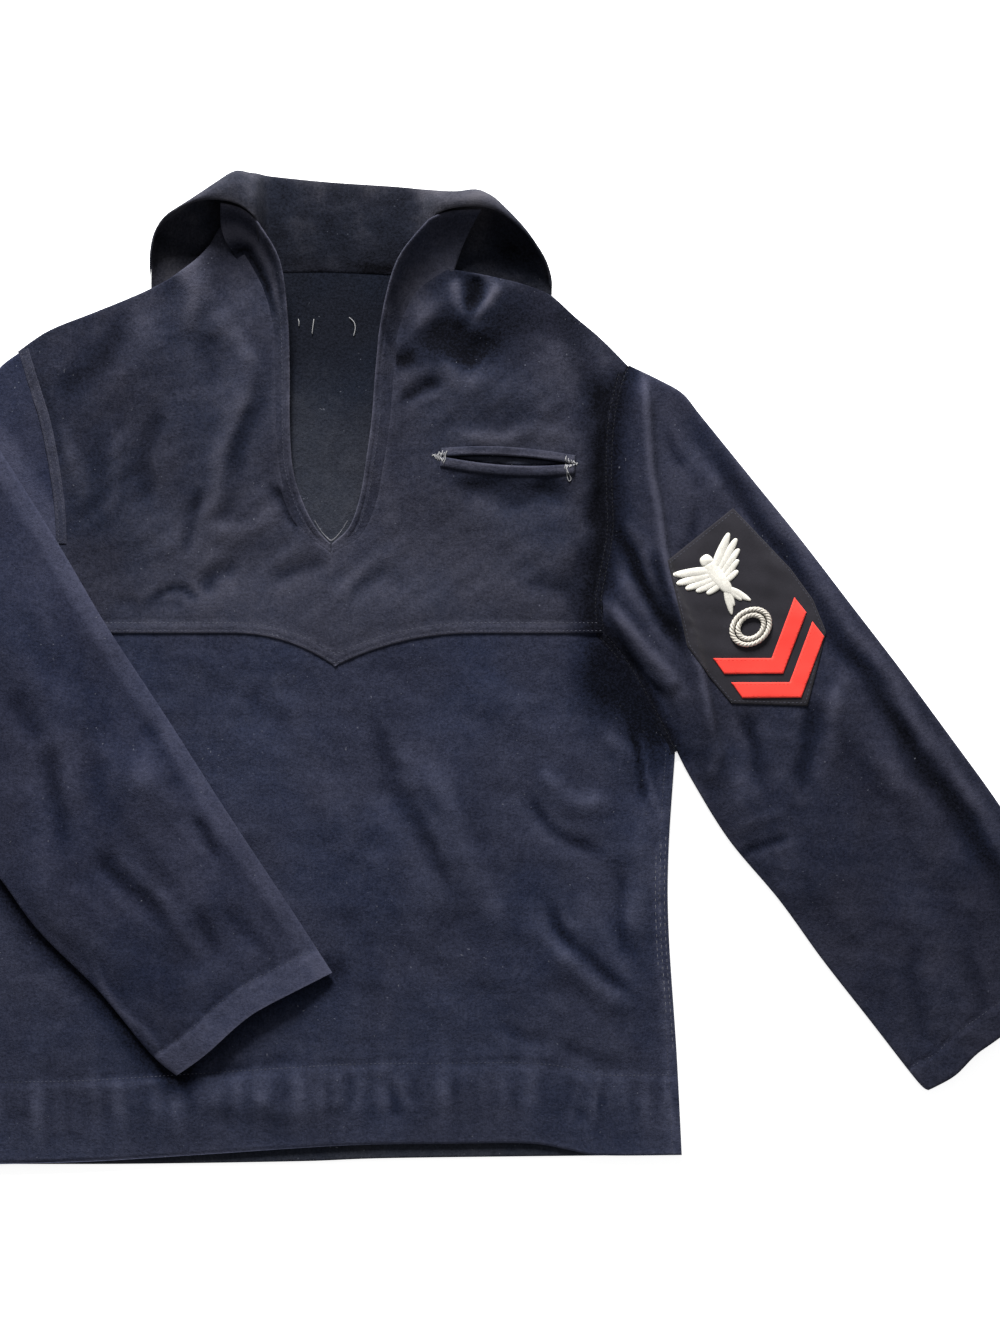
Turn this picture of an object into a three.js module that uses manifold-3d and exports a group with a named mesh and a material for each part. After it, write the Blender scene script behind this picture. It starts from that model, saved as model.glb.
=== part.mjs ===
// A sailor's wool pullover jumper, laid on its back with one sleeve folded over the front.
// Millimetres, +Z up. X runs across the body, +Y towards the collar, and z = 0 is the surface it lies on.
// The origin is under the point of the yoke, on the back panel's underside.
import * as THREE from "three";
import { mergeVertices } from "three/addons/utils/BufferGeometryUtils.js";
import Module from "manifold-3d";

const wasm = await Module();
wasm.setup();

// Driving dimensions
const CLOTH = 1.6; // wall of the wool cloth
const SEAM = 0.4; // gap between neighbouring pieces
const BODY_HALF_WIDTH = 257; // centre front to side seam, at the waist
const BODY_PUFF = 2.0; // how far the front stands off the back in the middle
const SLEEVE_PUFF = 2.6; // the same in a sleeve
const FLAP_LEFT = -138; // left edge of the collar's back flap
const FLAP_RIGHT = 166;
const FLAP_BOTTOM = 188; // lower edge of the flap, which lies under the back
const FLAP_RAMP = 90; // the back panel comes down to the surface over this distance
const YOKE_LEVEL = 24; // height of the yoke's lower edge at the armholes
const YOKE_POINT_DROP = 25; // the point hangs this far below that
const YOKE_POINT_X = 2;
const YOKE_REACH_LEFT = 80; // how far from the point the edge starts to dip
const YOKE_REACH_RIGHT = 110;
const YOKE_OVERLAP = 10; // the yoke covers this much of the front panel
const PRISM_HEIGHT = 80; // of the upright prisms that cut pieces to their outline
const FOLD_AXIS_HEIGHT = 4.6; // height of the crease axis of the folded sleeve
const LAPEL_START = 0.06; // the lapels run out this far before the foot of the V, as a share of their seam
const LAPEL_END = 0.985; // and meet the collar here
const POCKET = { x: 133, y: 155, length: 99, slit: 5, tilt: -0.058 };
const POCKET_BAG = { length: 112, depth: 92, above: 10, cloth: 1.0 };
const WELT = { upper: 5, lower: 7, cloth: 1.0, past: 2, inset: 1.1, bow: 0.9 };
const BADGE = { x: 313.3, y: 36.2, turn: 0.6435, cloth: 1.0 };
const CHEVRON = { middle: -3, upper: -36.5, lower: -59.3, arm: 39, width: 14.6, slope: 0.68, cloth: 1.0 };
const BIRD = { x: -2.6, y: 37, span: 58, cloth: 1.2 };
const RING = { x: -1.5, y: -8, outer: 14, inner: 6.5, cloth: 1.2 };

// Outlines, each a curve through [x, y] rows
const SHOULDER_LEFT = [
  [-239, 238], [-215, 254], [-177, 269], [-139, 285], [-112, 300], [-95, 316], [-84, 333], [-73, 327],
  [-67, 313],
];
const SHOULDER_RIGHT = [[88, 301], [127, 293], [150, 287], [166, 280], [184, 264], [203, 248], [224, 227]];
const ARMHOLE_LEFT = [
  [-239, 238], [-230, 209], [-221, 179], [-214, 141], [-210, 103], [-212, 65], [-222, 24],
];
const ARMHOLE_RIGHT = [
  [224, 227], [219, 214], [213, 186], [211, 148], [212, 103], [207, 72], [203, 49], [205, 24],
];
const UNDERARM_LEFT = [[-222, 24], [-234, -5], [-247, -35], [-259, -65]];
const UNDERARM_RIGHT = [[205, 24], [222, 4], [241, -28], [260, -66]];
const SIDE_LEFT = [[-259, -65], [-257, -140], [-257, -210], [-261, -290], [-264, -379]];
const SIDE_RIGHT = [[260, -66], [255, -141], [255, -201], [261, -293], [265, -372]];
const BACK_HEM = [[-264, -379], [-158, -379], [-25, -377], [51, -374.5], [265, -372]];
const FRONT_HEM = [
  [-264, -378], [-185, -376], [-101, -371], [12, -364], [90, -363], [150, -363], [180, -368],
  [203, -372], [265, -372],
];
const BACK_NECK = [[-66, 303], [-50, 300], [0, 300], [50, 298], [88, 300]];
const NECK_SEAM_LEFT = [
  [-1, 86], [-18, 99], [-33, 122], [-39, 148], [-42, 182], [-43, 220], [-44, 255], [-52, 286],
  [-66, 312],
];
const NECK_SEAM_RIGHT = [
  [-1, 86], [20, 98], [32, 122], [38, 152], [43, 186], [46, 222], [50, 256], [64, 284], [87, 301],
];
const RIM_LEFT = [
  [-1.4, 92], [-12.4, 104], [-23, 125], [-30, 150], [-32, 185], [-32, 225], [-33.4, 265], [-39, 305],
  [-55, 333],
];
const RIM_RIGHT = [
  [-0.6, 92], [13, 105], [21, 128], [26, 158], [30, 188], [33, 226], [38, 265], [50, 306], [73, 335],
];
const SLEEVE_R_OVER = [
  [225.3, 227.5], [249, 216], [266, 206], [279, 190], [317, 143], [355, 96], [393, 46.5], [431, -3],
  [469, -54.5], [502, -100], [533, -147], [584, -226],
];
const SLEEVE_R_UNDER = [
  [262.2, -66], [273, -88], [301, -133], [339, -178.5], [372, -224], [408, -270], [443, -315],
  [452, -323],
];
const SLEEVE_R_CUFF = [[584, -226], [507, -282], [488, -295.5], [472, -311.5], [452, -323]];
const SLEEVE_L_OVER = [
  [-270, 188], [-252, 163], [-207, 91], [-169, 27], [-124, -42], [-78, -114], [-33, -182], [0, -233],
];
const SLEEVE_L_UNDER = [
  [-281, -128], [-253, -160], [-223, -201], [-177, -247], [-139, -293], [-118, -311],
];
const SLEEVE_L_CUFF = [[0, -233], [-48, -257], [-68, -270], [-96, -295], [-118, -311]];
const CREASE_LEFT = [[-270, 188], [-280, 100], [-287, 0], [-287, -70], [-281, -128]];
const SLEEVE_L_SHOULDER = [[-239.9, 238.3], [-256, 222], [-270, 188]];
const SLEEVE_L_PIT = [[-259.9, -65.2], [-270, -98], [-281, -128]];
const BADGE_OUTLINE = [
  [-22, 70], [-35, 40], [-49, 9], [-49.5, -20], [-48, -46], [-3, -82], [42, -46], [49, -20], [49.5, 9],
  [42, 72],
];
const BIRD_SHAPE = [
  [0, 10], [0.34, 17], [0.72, 19], [1, 12], [0.72, 8], [0.42, 2], [0.2, -4], [0.24, -14], [0.4, -27],
  [0.14, -19], [0, -13],
];

// Largest folds: a bowed ridge or trough from one point to the other. lean is its width on the left-hand side,
// seen from its start, and slope its width on the right-hand side.
const YOKE_FOLDS = [
  { x0: -66, y0: 262, x1: -96, y1: 110, bow: 8, lean: 10, slope: 22, height: 3.6 },
  { x0: -50, y0: 222, x1: -76, y1: 130, bow: -4, lean: 12, slope: 12, height: -2.0 },
  { x0: -110, y0: 330, x1: -80, y1: 240, bow: -12, lean: 22, slope: 14, height: 6.0 },
  { x0: -230, y0: 214, x1: -120, y1: 262, bow: -6, lean: 18, slope: 26, height: 2.4 },
  { x0: 62, y0: 292, x1: 96, y1: 176, bow: 6, lean: 20, slope: 14, height: 4.0 },
  { x0: 124, y0: 300, x1: 104, y1: 236, bow: 5, lean: 14, slope: 18, height: 4.2 },
  { x0: 80, y0: 200, x1: 190, y1: 196, bow: 12, lean: 22, slope: 26, height: 2.4 },
  { x0: 196, y0: 196, x1: 190, y1: 52, bow: -6, lean: 14, slope: 26, height: 3.0 },
  { x0: -190, y0: 120, x1: -60, y1: 62, bow: 10, lean: 24, slope: 24, height: 1.8 },
];
const FRONT_FOLDS = [
  { x0: 60, y0: -20, x1: 176, y1: -250, bow: -22, lean: 34, slope: 30, height: 3.2 },
  { x0: 236, y0: -84, x1: 216, y1: -226, bow: 12, lean: 14, slope: 18, height: 3.4 },
  { x0: 168, y0: -196, x1: 240, y1: -262, bow: -12, lean: 16, slope: 12, height: 2.8 },
  { x0: 20, y0: -90, x1: 96, y1: -300, bow: 14, lean: 30, slope: 34, height: 2.2 },
  { x0: -120, y0: -322, x1: 30, y1: -350, bow: 5, lean: 16, slope: 14, height: 1.8 },
];
const SLEEVE_R_FOLDS = [
  { x0: 246, y0: 226, x1: 256, y1: 64, bow: 9, lean: 10, slope: 26, height: 6.2 },
  { x0: 251, y0: 100, x1: 300, y1: -70, bow: 4, lean: 11, slope: 24, height: 6.0 },
  { x0: 268, y0: 172, x1: 394, y1: -8, bow: -4, lean: 16, slope: 22, height: 3.0 },
  { x0: 356, y0: 12, x1: 470, y1: -176, bow: 10, lean: 30, slope: 14, height: 3.4 },
  { x0: 300, y0: -60, x1: 372, y1: -190, bow: -14, lean: 22, slope: 24, height: 2.8 },
  { x0: 420, y0: -150, x1: 470, y1: -290, bow: 6, lean: 22, slope: 24, height: 2.2 },
];
const SLEEVE_L_FOLDS = [
  { x0: -240, y0: 60, x1: -206, y1: -150, bow: 16, lean: 22, slope: 28, height: 3.4 },
  { x0: -170, y0: -40, x1: -96, y1: -220, bow: 12, lean: 30, slope: 24, height: 3.6 },
  { x0: -236, y0: -130, x1: -150, y1: -244, bow: -8, lean: 18, slope: 22, height: 2.8 },
  { x0: -120, y0: -262, x1: -44, y1: -220, bow: 8, lean: 20, slope: 24, height: 3.0 },
];

// Stations across the collar: x, the height of its top there, and whether its front edge is the free rim.
const COLLAR_STATIONS = [
  { x: -138, top: 7, rim: 1 }, { x: -134, top: 13, rim: 1 }, { x: -128, top: 18, rim: 1 },
  { x: -118, top: 23, rim: 1 }, { x: -104, top: 27, rim: 1 }, { x: -90, top: 29, rim: 1 },
  { x: -76, top: 29, rim: 1 }, { x: -64, top: 28, rim: 1 }, { x: -57, top: 26, rim: 1 },
  { x: -53, top: 16, rim: 0.4 }, { x: -49, top: 9, rim: 0 }, { x: -38, top: 7, rim: 0 },
  { x: -20, top: 6.6, rim: 0 }, { x: 0, top: 6, rim: 0 }, { x: 22, top: 6, rim: 0 },
  { x: 42, top: 6.4, rim: 0 }, { x: 56, top: 7.5, rim: 0 }, { x: 66, top: 11, rim: 0 },
  { x: 73, top: 19, rim: 0.5 }, { x: 79, top: 25, rim: 1 }, { x: 88, top: 28, rim: 1 },
  { x: 100, top: 29, rim: 1 }, { x: 114, top: 29, rim: 1 }, { x: 128, top: 27, rim: 1 },
  { x: 142, top: 23, rim: 1 }, { x: 153, top: 18, rim: 1 }, { x: 161, top: 13, rim: 1 },
  { x: 166, top: 7, rim: 1 },
];
const COLLAR_FOLD_LINE = [
  [-138, 314], [-132, 331], [-110, 348], [-90, 362.5], [-73, 373], [-60, 371.5], [-6, 366], [51, 362],
  [89, 357.5], [108, 359], [118, 355.5], [127, 349], [146, 329], [157, 312], [163, 300], [166, 285],
];
const COLLAR_RIM = [
  [-138, 291], [-136, 315], [-128, 335], [-112, 345], [-91, 349.5], [-70, 346], [-56, 335], [-50, 326],
  [62, 326], [74, 336], [89, 342.5], [109, 344.5], [126, 340.5], [144, 327.5], [158, 312], [165, 296],
  [166, 281],
];
const COLLAR_SECTION = [
  { reach: 0, rise: 1 }, { reach: 0.3, rise: 1.04 }, { reach: 0.6, rise: 0.96 },
  { reach: 0.86, rise: 0.74 }, { reach: 1, rise: 0.42 }, { reach: 0.92, rise: 0.12 },
];

// Curves and helpers on numbers
const lerp = THREE.MathUtils.lerp;
const smooth = (x) => THREE.MathUtils.smoothstep(x, 0, 1);
const curve = (rows) => new THREE.SplineCurve(rows.map(([x, y]) => new THREE.Vector2(x, y)));

// Curves joined end to end, each over its own share of the whole, so that their corners fall on grid lines
function path(...parts) {
  const lines = parts.map(([share, rows]) => ({ share, line: curve(rows) }));
  return {
    getPointAt(t) {
      let start = 0;
      for (const { share, line } of lines) {
        if (t < start + share + 1e-6) return line.getPointAt(Math.max(0, Math.min(1, (t - start) / share)));
        start += share;
      }
      return lines[lines.length - 1].line.getPointAt(1);
    },
  };
}
const reversed = (rows) => rows.slice().reverse();

// Height of a curve given as [x, y] rows, at x
function heightAt(rows, x) {
  const next = Math.max(1, rows.findIndex(([rowX]) => rowX >= x));
  const [x0, y0] = rows[next - 1];
  const [x1, y1] = rows[next];
  return lerp(y0, y1, THREE.MathUtils.clamp((x - x0) / (x1 - x0), 0, 1));
}

// The points inside four edges, as rows from the first edge (across = 0) to the second (across = 1)
function coons(left, right, bottom, top, across, up) {
  const blend = (a, b, share) => a.clone().lerp(b, share);
  const [low0, low1] = [left.getPointAt(0), right.getPointAt(0)];
  const [high0, high1] = [left.getPointAt(1), right.getPointAt(1)];
  return up.map((v) =>
    across.map((u) => {
      const sides = blend(left.getPointAt(v), right.getPointAt(v), u);
      const ends = blend(bottom.getPointAt(u), top.getPointAt(u), v);
      return sides.add(ends).sub(blend(blend(low0, low1, u), blend(high0, high1, u), v));
    }),
  );
}
const even = (steps) => Array.from({ length: steps + 1 }, (_, i) => i / steps);

// Relief of a table of folds at a point
function relief(folds, x, y) {
  let height = 0;
  for (const fold of folds) {
    const dx = fold.x1 - fold.x0;
    const dy = fold.y1 - fold.y0;
    const length = Math.hypot(dx, dy);
    const along = ((x - fold.x0) * dx + (y - fold.y0) * dy) / (length * length);
    if (along <= 0 || along >= 1) continue;
    const side = ((y - fold.y0) * dx - (x - fold.x0) * dy) / length - 4 * fold.bow * along * (1 - along);
    const width = side > 0 ? fold.lean : fold.slope;
    const ends = smooth(along / 0.3) * smooth((1 - along) / 0.3);
    height += fold.height * Math.exp(-((side / width) ** 2)) * ends;
  }
  return height;
}

// Levels of the cloth
function yokeEdge(x) {
  const reach = x < YOKE_POINT_X ? YOKE_REACH_LEFT : YOKE_REACH_RIGHT;
  return YOKE_LEVEL - YOKE_POINT_DROP * Math.max(0, 1 - Math.abs(x - YOKE_POINT_X) / reach) ** 2.2;
}

// The back panel is lifted by the flap under it
function lift(x, y) {
  const beside = Math.max(FLAP_LEFT - x, x - FLAP_RIGHT, 0) / FLAP_RAMP;
  const below = Math.max(FLAP_BOTTOM - y, 0) / FLAP_RAMP;
  return (CLOTH + SEAM) * (1 - smooth(Math.min(1, beside))) * (1 - smooth(Math.min(1, below)));
}
const SHOULDER_LEVEL = 285;
const SHOULDER_FALL = { slope: 0.5, from: 139 };
const HEM_LEVEL = -370;
const PUFF_REACH = { side: 60, hem: 50, shoulder: 50 };
function shoulderLine(x) {
  return SHOULDER_LEVEL - SHOULDER_FALL.slope * Math.max(0, Math.abs(x) - SHOULDER_FALL.from);
}

function puff(x, y) {
  const fromSide = smooth((BODY_HALF_WIDTH - Math.abs(x)) / PUFF_REACH.side);
  const fromHem = smooth((y - HEM_LEVEL) / PUFF_REACH.hem);
  const fromShoulder = smooth((shoulderLine(x) - y) / PUFF_REACH.shoulder);
  return BODY_PUFF * fromSide * fromHem * fromShoulder;
}
const backTop = (x, y) => lift(x, y) + CLOTH;
const frontUnder = (x, y) => backTop(x, y) + SEAM + puff(x, y);

// The yoke lies on the front panel along its lower edge
const YOKE_STEP = { flat: 14, above: 46, below: 50 };
const yokeStep = (x, y) => (CLOTH + SEAM) * (1 - smooth((y - yokeEdge(x) - YOKE_STEP.flat) / YOKE_STEP.above));
const yokeUnder = (x, y) => frontUnder(x, y) + yokeStep(x, y) + Math.max(0, relief(YOKE_FOLDS, x, y));
const frontPanelUnder = (x, y) => frontUnder(x, y) + Math.max(0, relief(FRONT_FOLDS, x, y));
function bodyTop(x, y) {
  const below = (CLOTH + SEAM) * (1 - smooth((yokeEdge(x) - y) / YOKE_STEP.below));
  return frontUnder(x, y) + CLOTH + (y > yokeEdge(x) ? yokeStep(x, y) : below);
}

// A solid from grids of points. Each patch has an outer and an inner grid of the same shape. Patches that share
// an edge are joined, and a wall closes every edge that is used once.
function shell(patches) {
  const pool = new Map();
  const outer = [];
  const inner = [];
  const triangles = [];
  const indexOf = (a, b) => {
    const key = [a.x, a.y, a.z].map((n) => Math.round(n * 1000)).join();
    if (!pool.has(key)) {
      pool.set(key, outer.length);
      outer.push(a);
      inner.push(b);
    }
    return pool.get(key);
  };
  for (const patch of patches) {
    const index = patch.outer.map((row, i) => row.map((point, j) => indexOf(point, patch.inner[i][j])));
    for (let i = 0; i + 1 < index.length; i++) {
      for (let j = 0; j + 1 < index[i].length; j++) {
        const [a, b, c, d] = [index[i][j], index[i][j + 1], index[i + 1][j + 1], index[i + 1][j]];
        triangles.push([a, b, c], [a, c, d]);
      }
    }
  }
  const kept = triangles.filter(([a, b, c]) => a !== b && b !== c && c !== a);
  const edges = new Set(kept.flatMap(([a, b, c]) => [`${a},${b}`, `${b},${c}`, `${c},${a}`]));
  const offset = outer.length;
  const faces = [];
  for (const [a, b, c] of kept) {
    faces.push(a, b, c, offset + a, offset + c, offset + b);
    for (const [p, q] of [[a, b], [b, c], [c, a]]) {
      if (!edges.has(`${q},${p}`)) faces.push(p, offset + q, q, p, offset + p, offset + q);
    }
  }
  const geometry = new THREE.BufferGeometry().setFromPoints([...outer, ...inner]);
  geometry.setIndex(faces);
  return facingOut(geometry);
}

function volumeOf(geometry) {
  const position = geometry.attributes.position;
  const corners = [new THREE.Vector3(), new THREE.Vector3(), new THREE.Vector3()];
  let sum = 0;
  for (let i = 0; i < geometry.index.count; i += 3) {
    corners.forEach((corner, k) => corner.fromBufferAttribute(position, geometry.index.array[i + k]));
    sum += corners[0].dot(corners[1].clone().cross(corners[2])) / 6;
  }
  return sum;
}

function facingOut(geometry) {
  if (volumeOf(geometry) < 0) geometry.index.array.reverse();
  return geometry;
}

// A wall whose underside is at under(x, y), over a plan grid
function wall(plan, under, thickness = CLOTH) {
  const at = (rise) => plan.map((row) => row.map((p) => new THREE.Vector3(p.x, p.y, under(p.x, p.y) + rise)));
  return { outer: at(thickness), inner: at(0) };
}

// A wall of even thickness on both sides of a grid of points in space
function sheet(grid, thickness = CLOTH) {
  const clamp = (index, count) => THREE.MathUtils.clamp(index, 0, count - 1);
  const at = (i, j) => grid[clamp(i, grid.length)][clamp(j, grid[0].length)];
  const moved = (distance) =>
    grid.map((row, i) =>
      row.map((point, j) => {
        const along = at(i, j + 1).clone().sub(at(i, j - 1));
        const up = at(i + 1, j).clone().sub(at(i - 1, j));
        return point.clone().addScaledVector(along.cross(up).normalize(), distance);
      }),
    );
  return { outer: moved(thickness / 2), inner: moved(-thickness / 2) };
}

// Cuts and joins
function solidOf(geometry) {
  const bare = new THREE.BufferGeometry().setAttribute("position", geometry.getAttribute("position"));
  bare.setIndex(geometry.index);
  const merged = mergeVertices(bare, 1e-4);
  const vertProperties = merged.attributes.position.array;
  const triVerts = new Uint32Array(merged.index.array);
  return new wasm.Manifold(new wasm.Mesh({ numProp: 3, vertProperties, triVerts }));
}

function geometryOf(solid) {
  const mesh = solid.getMesh();
  const geometry = new THREE.BufferGeometry();
  geometry.setAttribute("position", new THREE.BufferAttribute(mesh.vertProperties, 3));
  return geometry.setIndex(new THREE.BufferAttribute(mesh.triVerts, 1));
}

// An upright prism of an outline, placed and turned on the plan
function prism(shape, { x, y, turn }) {
  const settings = { depth: PRISM_HEIGHT, bevelEnabled: false, curveSegments: 10 };
  const geometry = new THREE.ExtrudeGeometry(shape, settings);
  return geometry.translate(0, 0, -PRISM_HEIGHT / 4).rotateZ(turn).translate(x, y, 0);
}

// A flat piece that lies on a panel: the panel's own points, moved out, cut to an outline
function applied(plan, under, thickness, shape, place) {
  return geometryOf(solidOf(shell([wall(plan, under, thickness)])).intersect(solidOf(prism(shape, place))));
}
const polygon = (rows) => new THREE.Shape(rows.map(([x, y]) => new THREE.Vector2(x, y)));

// Body panels. The shares put each corner of an outline on a line of its grid.
const BACK_ROWS = 24;
const BACK_COLUMNS = 18;
const FRONT_ROWS = 18;
const FRONT_COLUMNS = 22;
const YOKE_ROWS = 16;
const YOKE_COLUMNS = 13;
function side(seam, underarm) {
  return path([14 / FRONT_ROWS, reversed(seam)], [4 / FRONT_ROWS, reversed(underarm)]);
}
function sideAndArmhole(seam, underarm, armhole) {
  const rows = [[12, seam], [4, underarm], [8, armhole]];
  return path(...rows.map(([count, outline]) => [count / BACK_ROWS, reversed(outline)]));
}
const backTopEdge = [
  [5, SHOULDER_LEFT.slice(0, 5)],
  [7, [SHOULDER_LEFT[4], ...BACK_NECK]],
  [6, SHOULDER_RIGHT],
];
const backPlan = coons(
  sideAndArmhole(SIDE_LEFT, UNDERARM_LEFT, ARMHOLE_LEFT),
  sideAndArmhole(SIDE_RIGHT, UNDERARM_RIGHT, ARMHOLE_RIGHT),
  curve(BACK_HEM),
  path(...backTopEdge.map(([count, outline]) => [count / BACK_COLUMNS, outline])),
  even(BACK_COLUMNS),
  even(BACK_ROWS),
);
const back = shell([wall(backPlan, lift)]);

const yokeEdgeRows = (x0, x1) => even(12).map((t) => lerp(x0, x1, t)).map((x) => [x, yokeEdge(x)]);
const YOKE_END_LEFT = UNDERARM_LEFT[0][0];
const YOKE_END_RIGHT = UNDERARM_RIGHT[0][0];
const frontPlan = coons(
  side(SIDE_LEFT, UNDERARM_LEFT),
  side(SIDE_RIGHT, UNDERARM_RIGHT),
  curve(FRONT_HEM),
  path([0.5, yokeEdgeRows(YOKE_END_LEFT, YOKE_POINT_X)], [0.5, yokeEdgeRows(YOKE_POINT_X, YOKE_END_RIGHT)]),
  even(FRONT_COLUMNS),
  even(FRONT_ROWS),
).map((row, i, rows) =>
  row.map((p, j) => {
    const near = Math.max(0, 1 - (rows.length - 1 - i) / 2);
    return p.setY(p.y + YOKE_OVERLAP * near * smooth(Math.min(j, row.length - 1 - j) / 2));
  }),
);
const front = shell([wall(frontPlan, frontPanelUnder)]);

const YOKE_POINT = [YOKE_POINT_X, yokeEdge(YOKE_POINT_X)];
const centreLine = (neckSeam) => path([4 / YOKE_ROWS, [YOKE_POINT, neckSeam[0]]], [12 / YOKE_ROWS, neckSeam]);
const yokeLeftPlan = coons(
  curve(reversed(ARMHOLE_LEFT)),
  centreLine(NECK_SEAM_LEFT),
  curve(yokeEdgeRows(YOKE_END_LEFT, YOKE_POINT_X)),
  curve([...SHOULDER_LEFT.slice(0, -1), NECK_SEAM_LEFT[NECK_SEAM_LEFT.length - 1]]),
  even(YOKE_COLUMNS),
  even(YOKE_ROWS),
);
const yokeRightPlan = coons(
  centreLine(NECK_SEAM_RIGHT),
  curve(reversed(ARMHOLE_RIGHT)),
  curve(yokeEdgeRows(YOKE_POINT_X, YOKE_END_RIGHT)),
  curve([NECK_SEAM_RIGHT[NECK_SEAM_RIGHT.length - 1], ...SHOULDER_RIGHT.slice(1)]),
  even(YOKE_COLUMNS),
  even(YOKE_ROWS),
);
const pocketPlace = { x: POCKET.x, y: POCKET.y, turn: POCKET.tilt };
const slitHalf = POCKET.length / 2;
const slit = new THREE.Shape().moveTo(-slitHalf, 0);
slit.quadraticCurveTo(0, POCKET.slit, slitHalf, 0).quadraticCurveTo(0, -POCKET.slit, -slitHalf, 0);
const yokeWhole = shell([wall(yokeLeftPlan, yokeUnder), wall(yokeRightPlan, yokeUnder)]);
const yoke = geometryOf(solidOf(yokeWhole).subtract(solidOf(prism(slit, pocketPlace))));

function weltShape(side, width) {
  const half = slitHalf + WELT.past;
  const near = side * WELT.inset;
  const far = side * (width + WELT.inset);
  const shape = new THREE.Shape().moveTo(-half, near);
  shape.quadraticCurveTo(0, near + side * POCKET.slit * WELT.bow, half, near).lineTo(half, far);
  return shape.quadraticCurveTo(0, far + side * POCKET.slit * WELT.bow, -half, far).closePath();
}
const onYoke = (x, y) => yokeUnder(x, y) + CLOTH + SEAM;
const weltUpper = applied(yokeRightPlan, onYoke, WELT.cloth, weltShape(1, WELT.upper), pocketPlace);
const weltLower = applied(yokeRightPlan, onYoke, WELT.cloth, weltShape(-1, WELT.lower), pocketPlace);
const bagHalf = POCKET_BAG.length / 2;
const bagTop = POCKET_BAG.above;
const bagFoot = bagTop - POCKET_BAG.depth;
const bagShape = polygon([[-bagHalf, bagTop], [-bagHalf, bagFoot], [bagHalf, bagFoot], [bagHalf, bagTop]]);
const underYoke = (x, y) => yokeUnder(x, y) - SEAM - POCKET_BAG.cloth;
const pocketBag = applied(yokeRightPlan, underYoke, POCKET_BAG.cloth, bagShape, pocketPlace);

// Lapels: the collar's two front arms, which stand up from the neck seam to the free rim. They stand low at the
// foot of the V and high at the shoulder.
const LAPEL_INSET = SEAM + CLOTH / 2 + 0.5;
const LAPEL_LOW = 2.2;
const LAPEL_HIGH = 20;
const LAPEL_LEAST = 0.8;
function lapel(neckSeam, rim, inward) {
  const seam = curve(neckSeam);
  const edge = curve(rim);
  const grid = even(18).map((step) => {
    const t = lerp(LAPEL_START, LAPEL_END, step);
    const foot = seam.getPointAt(t);
    const top = edge.getPointAt(t);
    const level = yokeUnder(foot.x, foot.y) + CLOTH / 2;
    const rise = lerp(LAPEL_LOW, LAPEL_HIGH, smooth((t - 0.45) / 0.55)) * smooth(t / 0.12) + LAPEL_LEAST;
    return even(4).map((u) => {
      const point = foot.clone().lerp(top, u);
      return new THREE.Vector3(point.x + inward * LAPEL_INSET * (1 - u), point.y, level + rise * u ** 1.4);
    });
  });
  return shell([sheet(grid)]);
}
const lapelLeft = lapel(NECK_SEAM_LEFT, RIM_LEFT, 1);
const lapelRight = lapel(NECK_SEAM_RIGHT, RIM_RIGHT, -1);

// Collar: one sheet from the front edge over the roll and under the back as a flap. Each station is a section.
const COLLAR_NECK_HALF = 50;
const COLLAR_NECK_GAP = SEAM + 1.4;
const COLLAR_UNDER = [0.08, 0.2, 0.45, 0.72, 1];
function collarSection({ x, top, rim }) {
  const within = THREE.MathUtils.clamp(x, -COLLAR_NECK_HALF, COLLAR_NECK_HALF);
  const neck = heightAt(BACK_NECK, within) + COLLAR_NECK_GAP;
  const frontEdge = lerp(neck, heightAt(COLLAR_RIM, x), rim);
  const foldLine = heightAt(COLLAR_FOLD_LINE, x);
  const floor = CLOTH / 2;
  const neckLevel = lift(x, neck) + CLOTH / 2;
  const section = COLLAR_SECTION.map(({ reach, rise }) => {
    const standing = lerp(neckLevel, top, smooth(reach / 0.5));
    const level = reach < 0.9 && rim < 1 ? lerp(standing, top, rim) : top;
    return new THREE.Vector3(x, lerp(frontEdge, foldLine, reach), Math.max(floor, level * rise));
  });
  const under = COLLAR_UNDER.map((share) => new THREE.Vector3(x, lerp(foldLine, FLAP_BOTTOM, share), floor));
  return [...section, ...under];
}
const collar = shell([sheet(COLLAR_STATIONS.map(collarSection))]);

// Sleeves: rings round the arm. Each row is a place on the ring: across the sleeve, and how far up its side.
const RING_TOP = [0, 0.012, 0.045, 0.11, 0.19, 0.28, 0.37, 0.46, 0.54, 0.62, 0.7, 0.78, 0.87, 0.95, 0.988, 1];
const RING_UNDER = [0.985, 0.94, 0.87, 0.78, 0.7, 0.6, 0.48, 0.35, 0.22, 0.1, 0.015];
const RING_PLACES = [...RING_TOP.map((w) => [w, 1]), ...RING_UNDER.map((w) => [w, -1])];
const EDGE_SHARE = 0.03;
const roundness = (w) => Math.sqrt(1 - (1 - Math.min(1, Math.min(w, 1 - w) / EDGE_SHARE)) ** 2);

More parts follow.
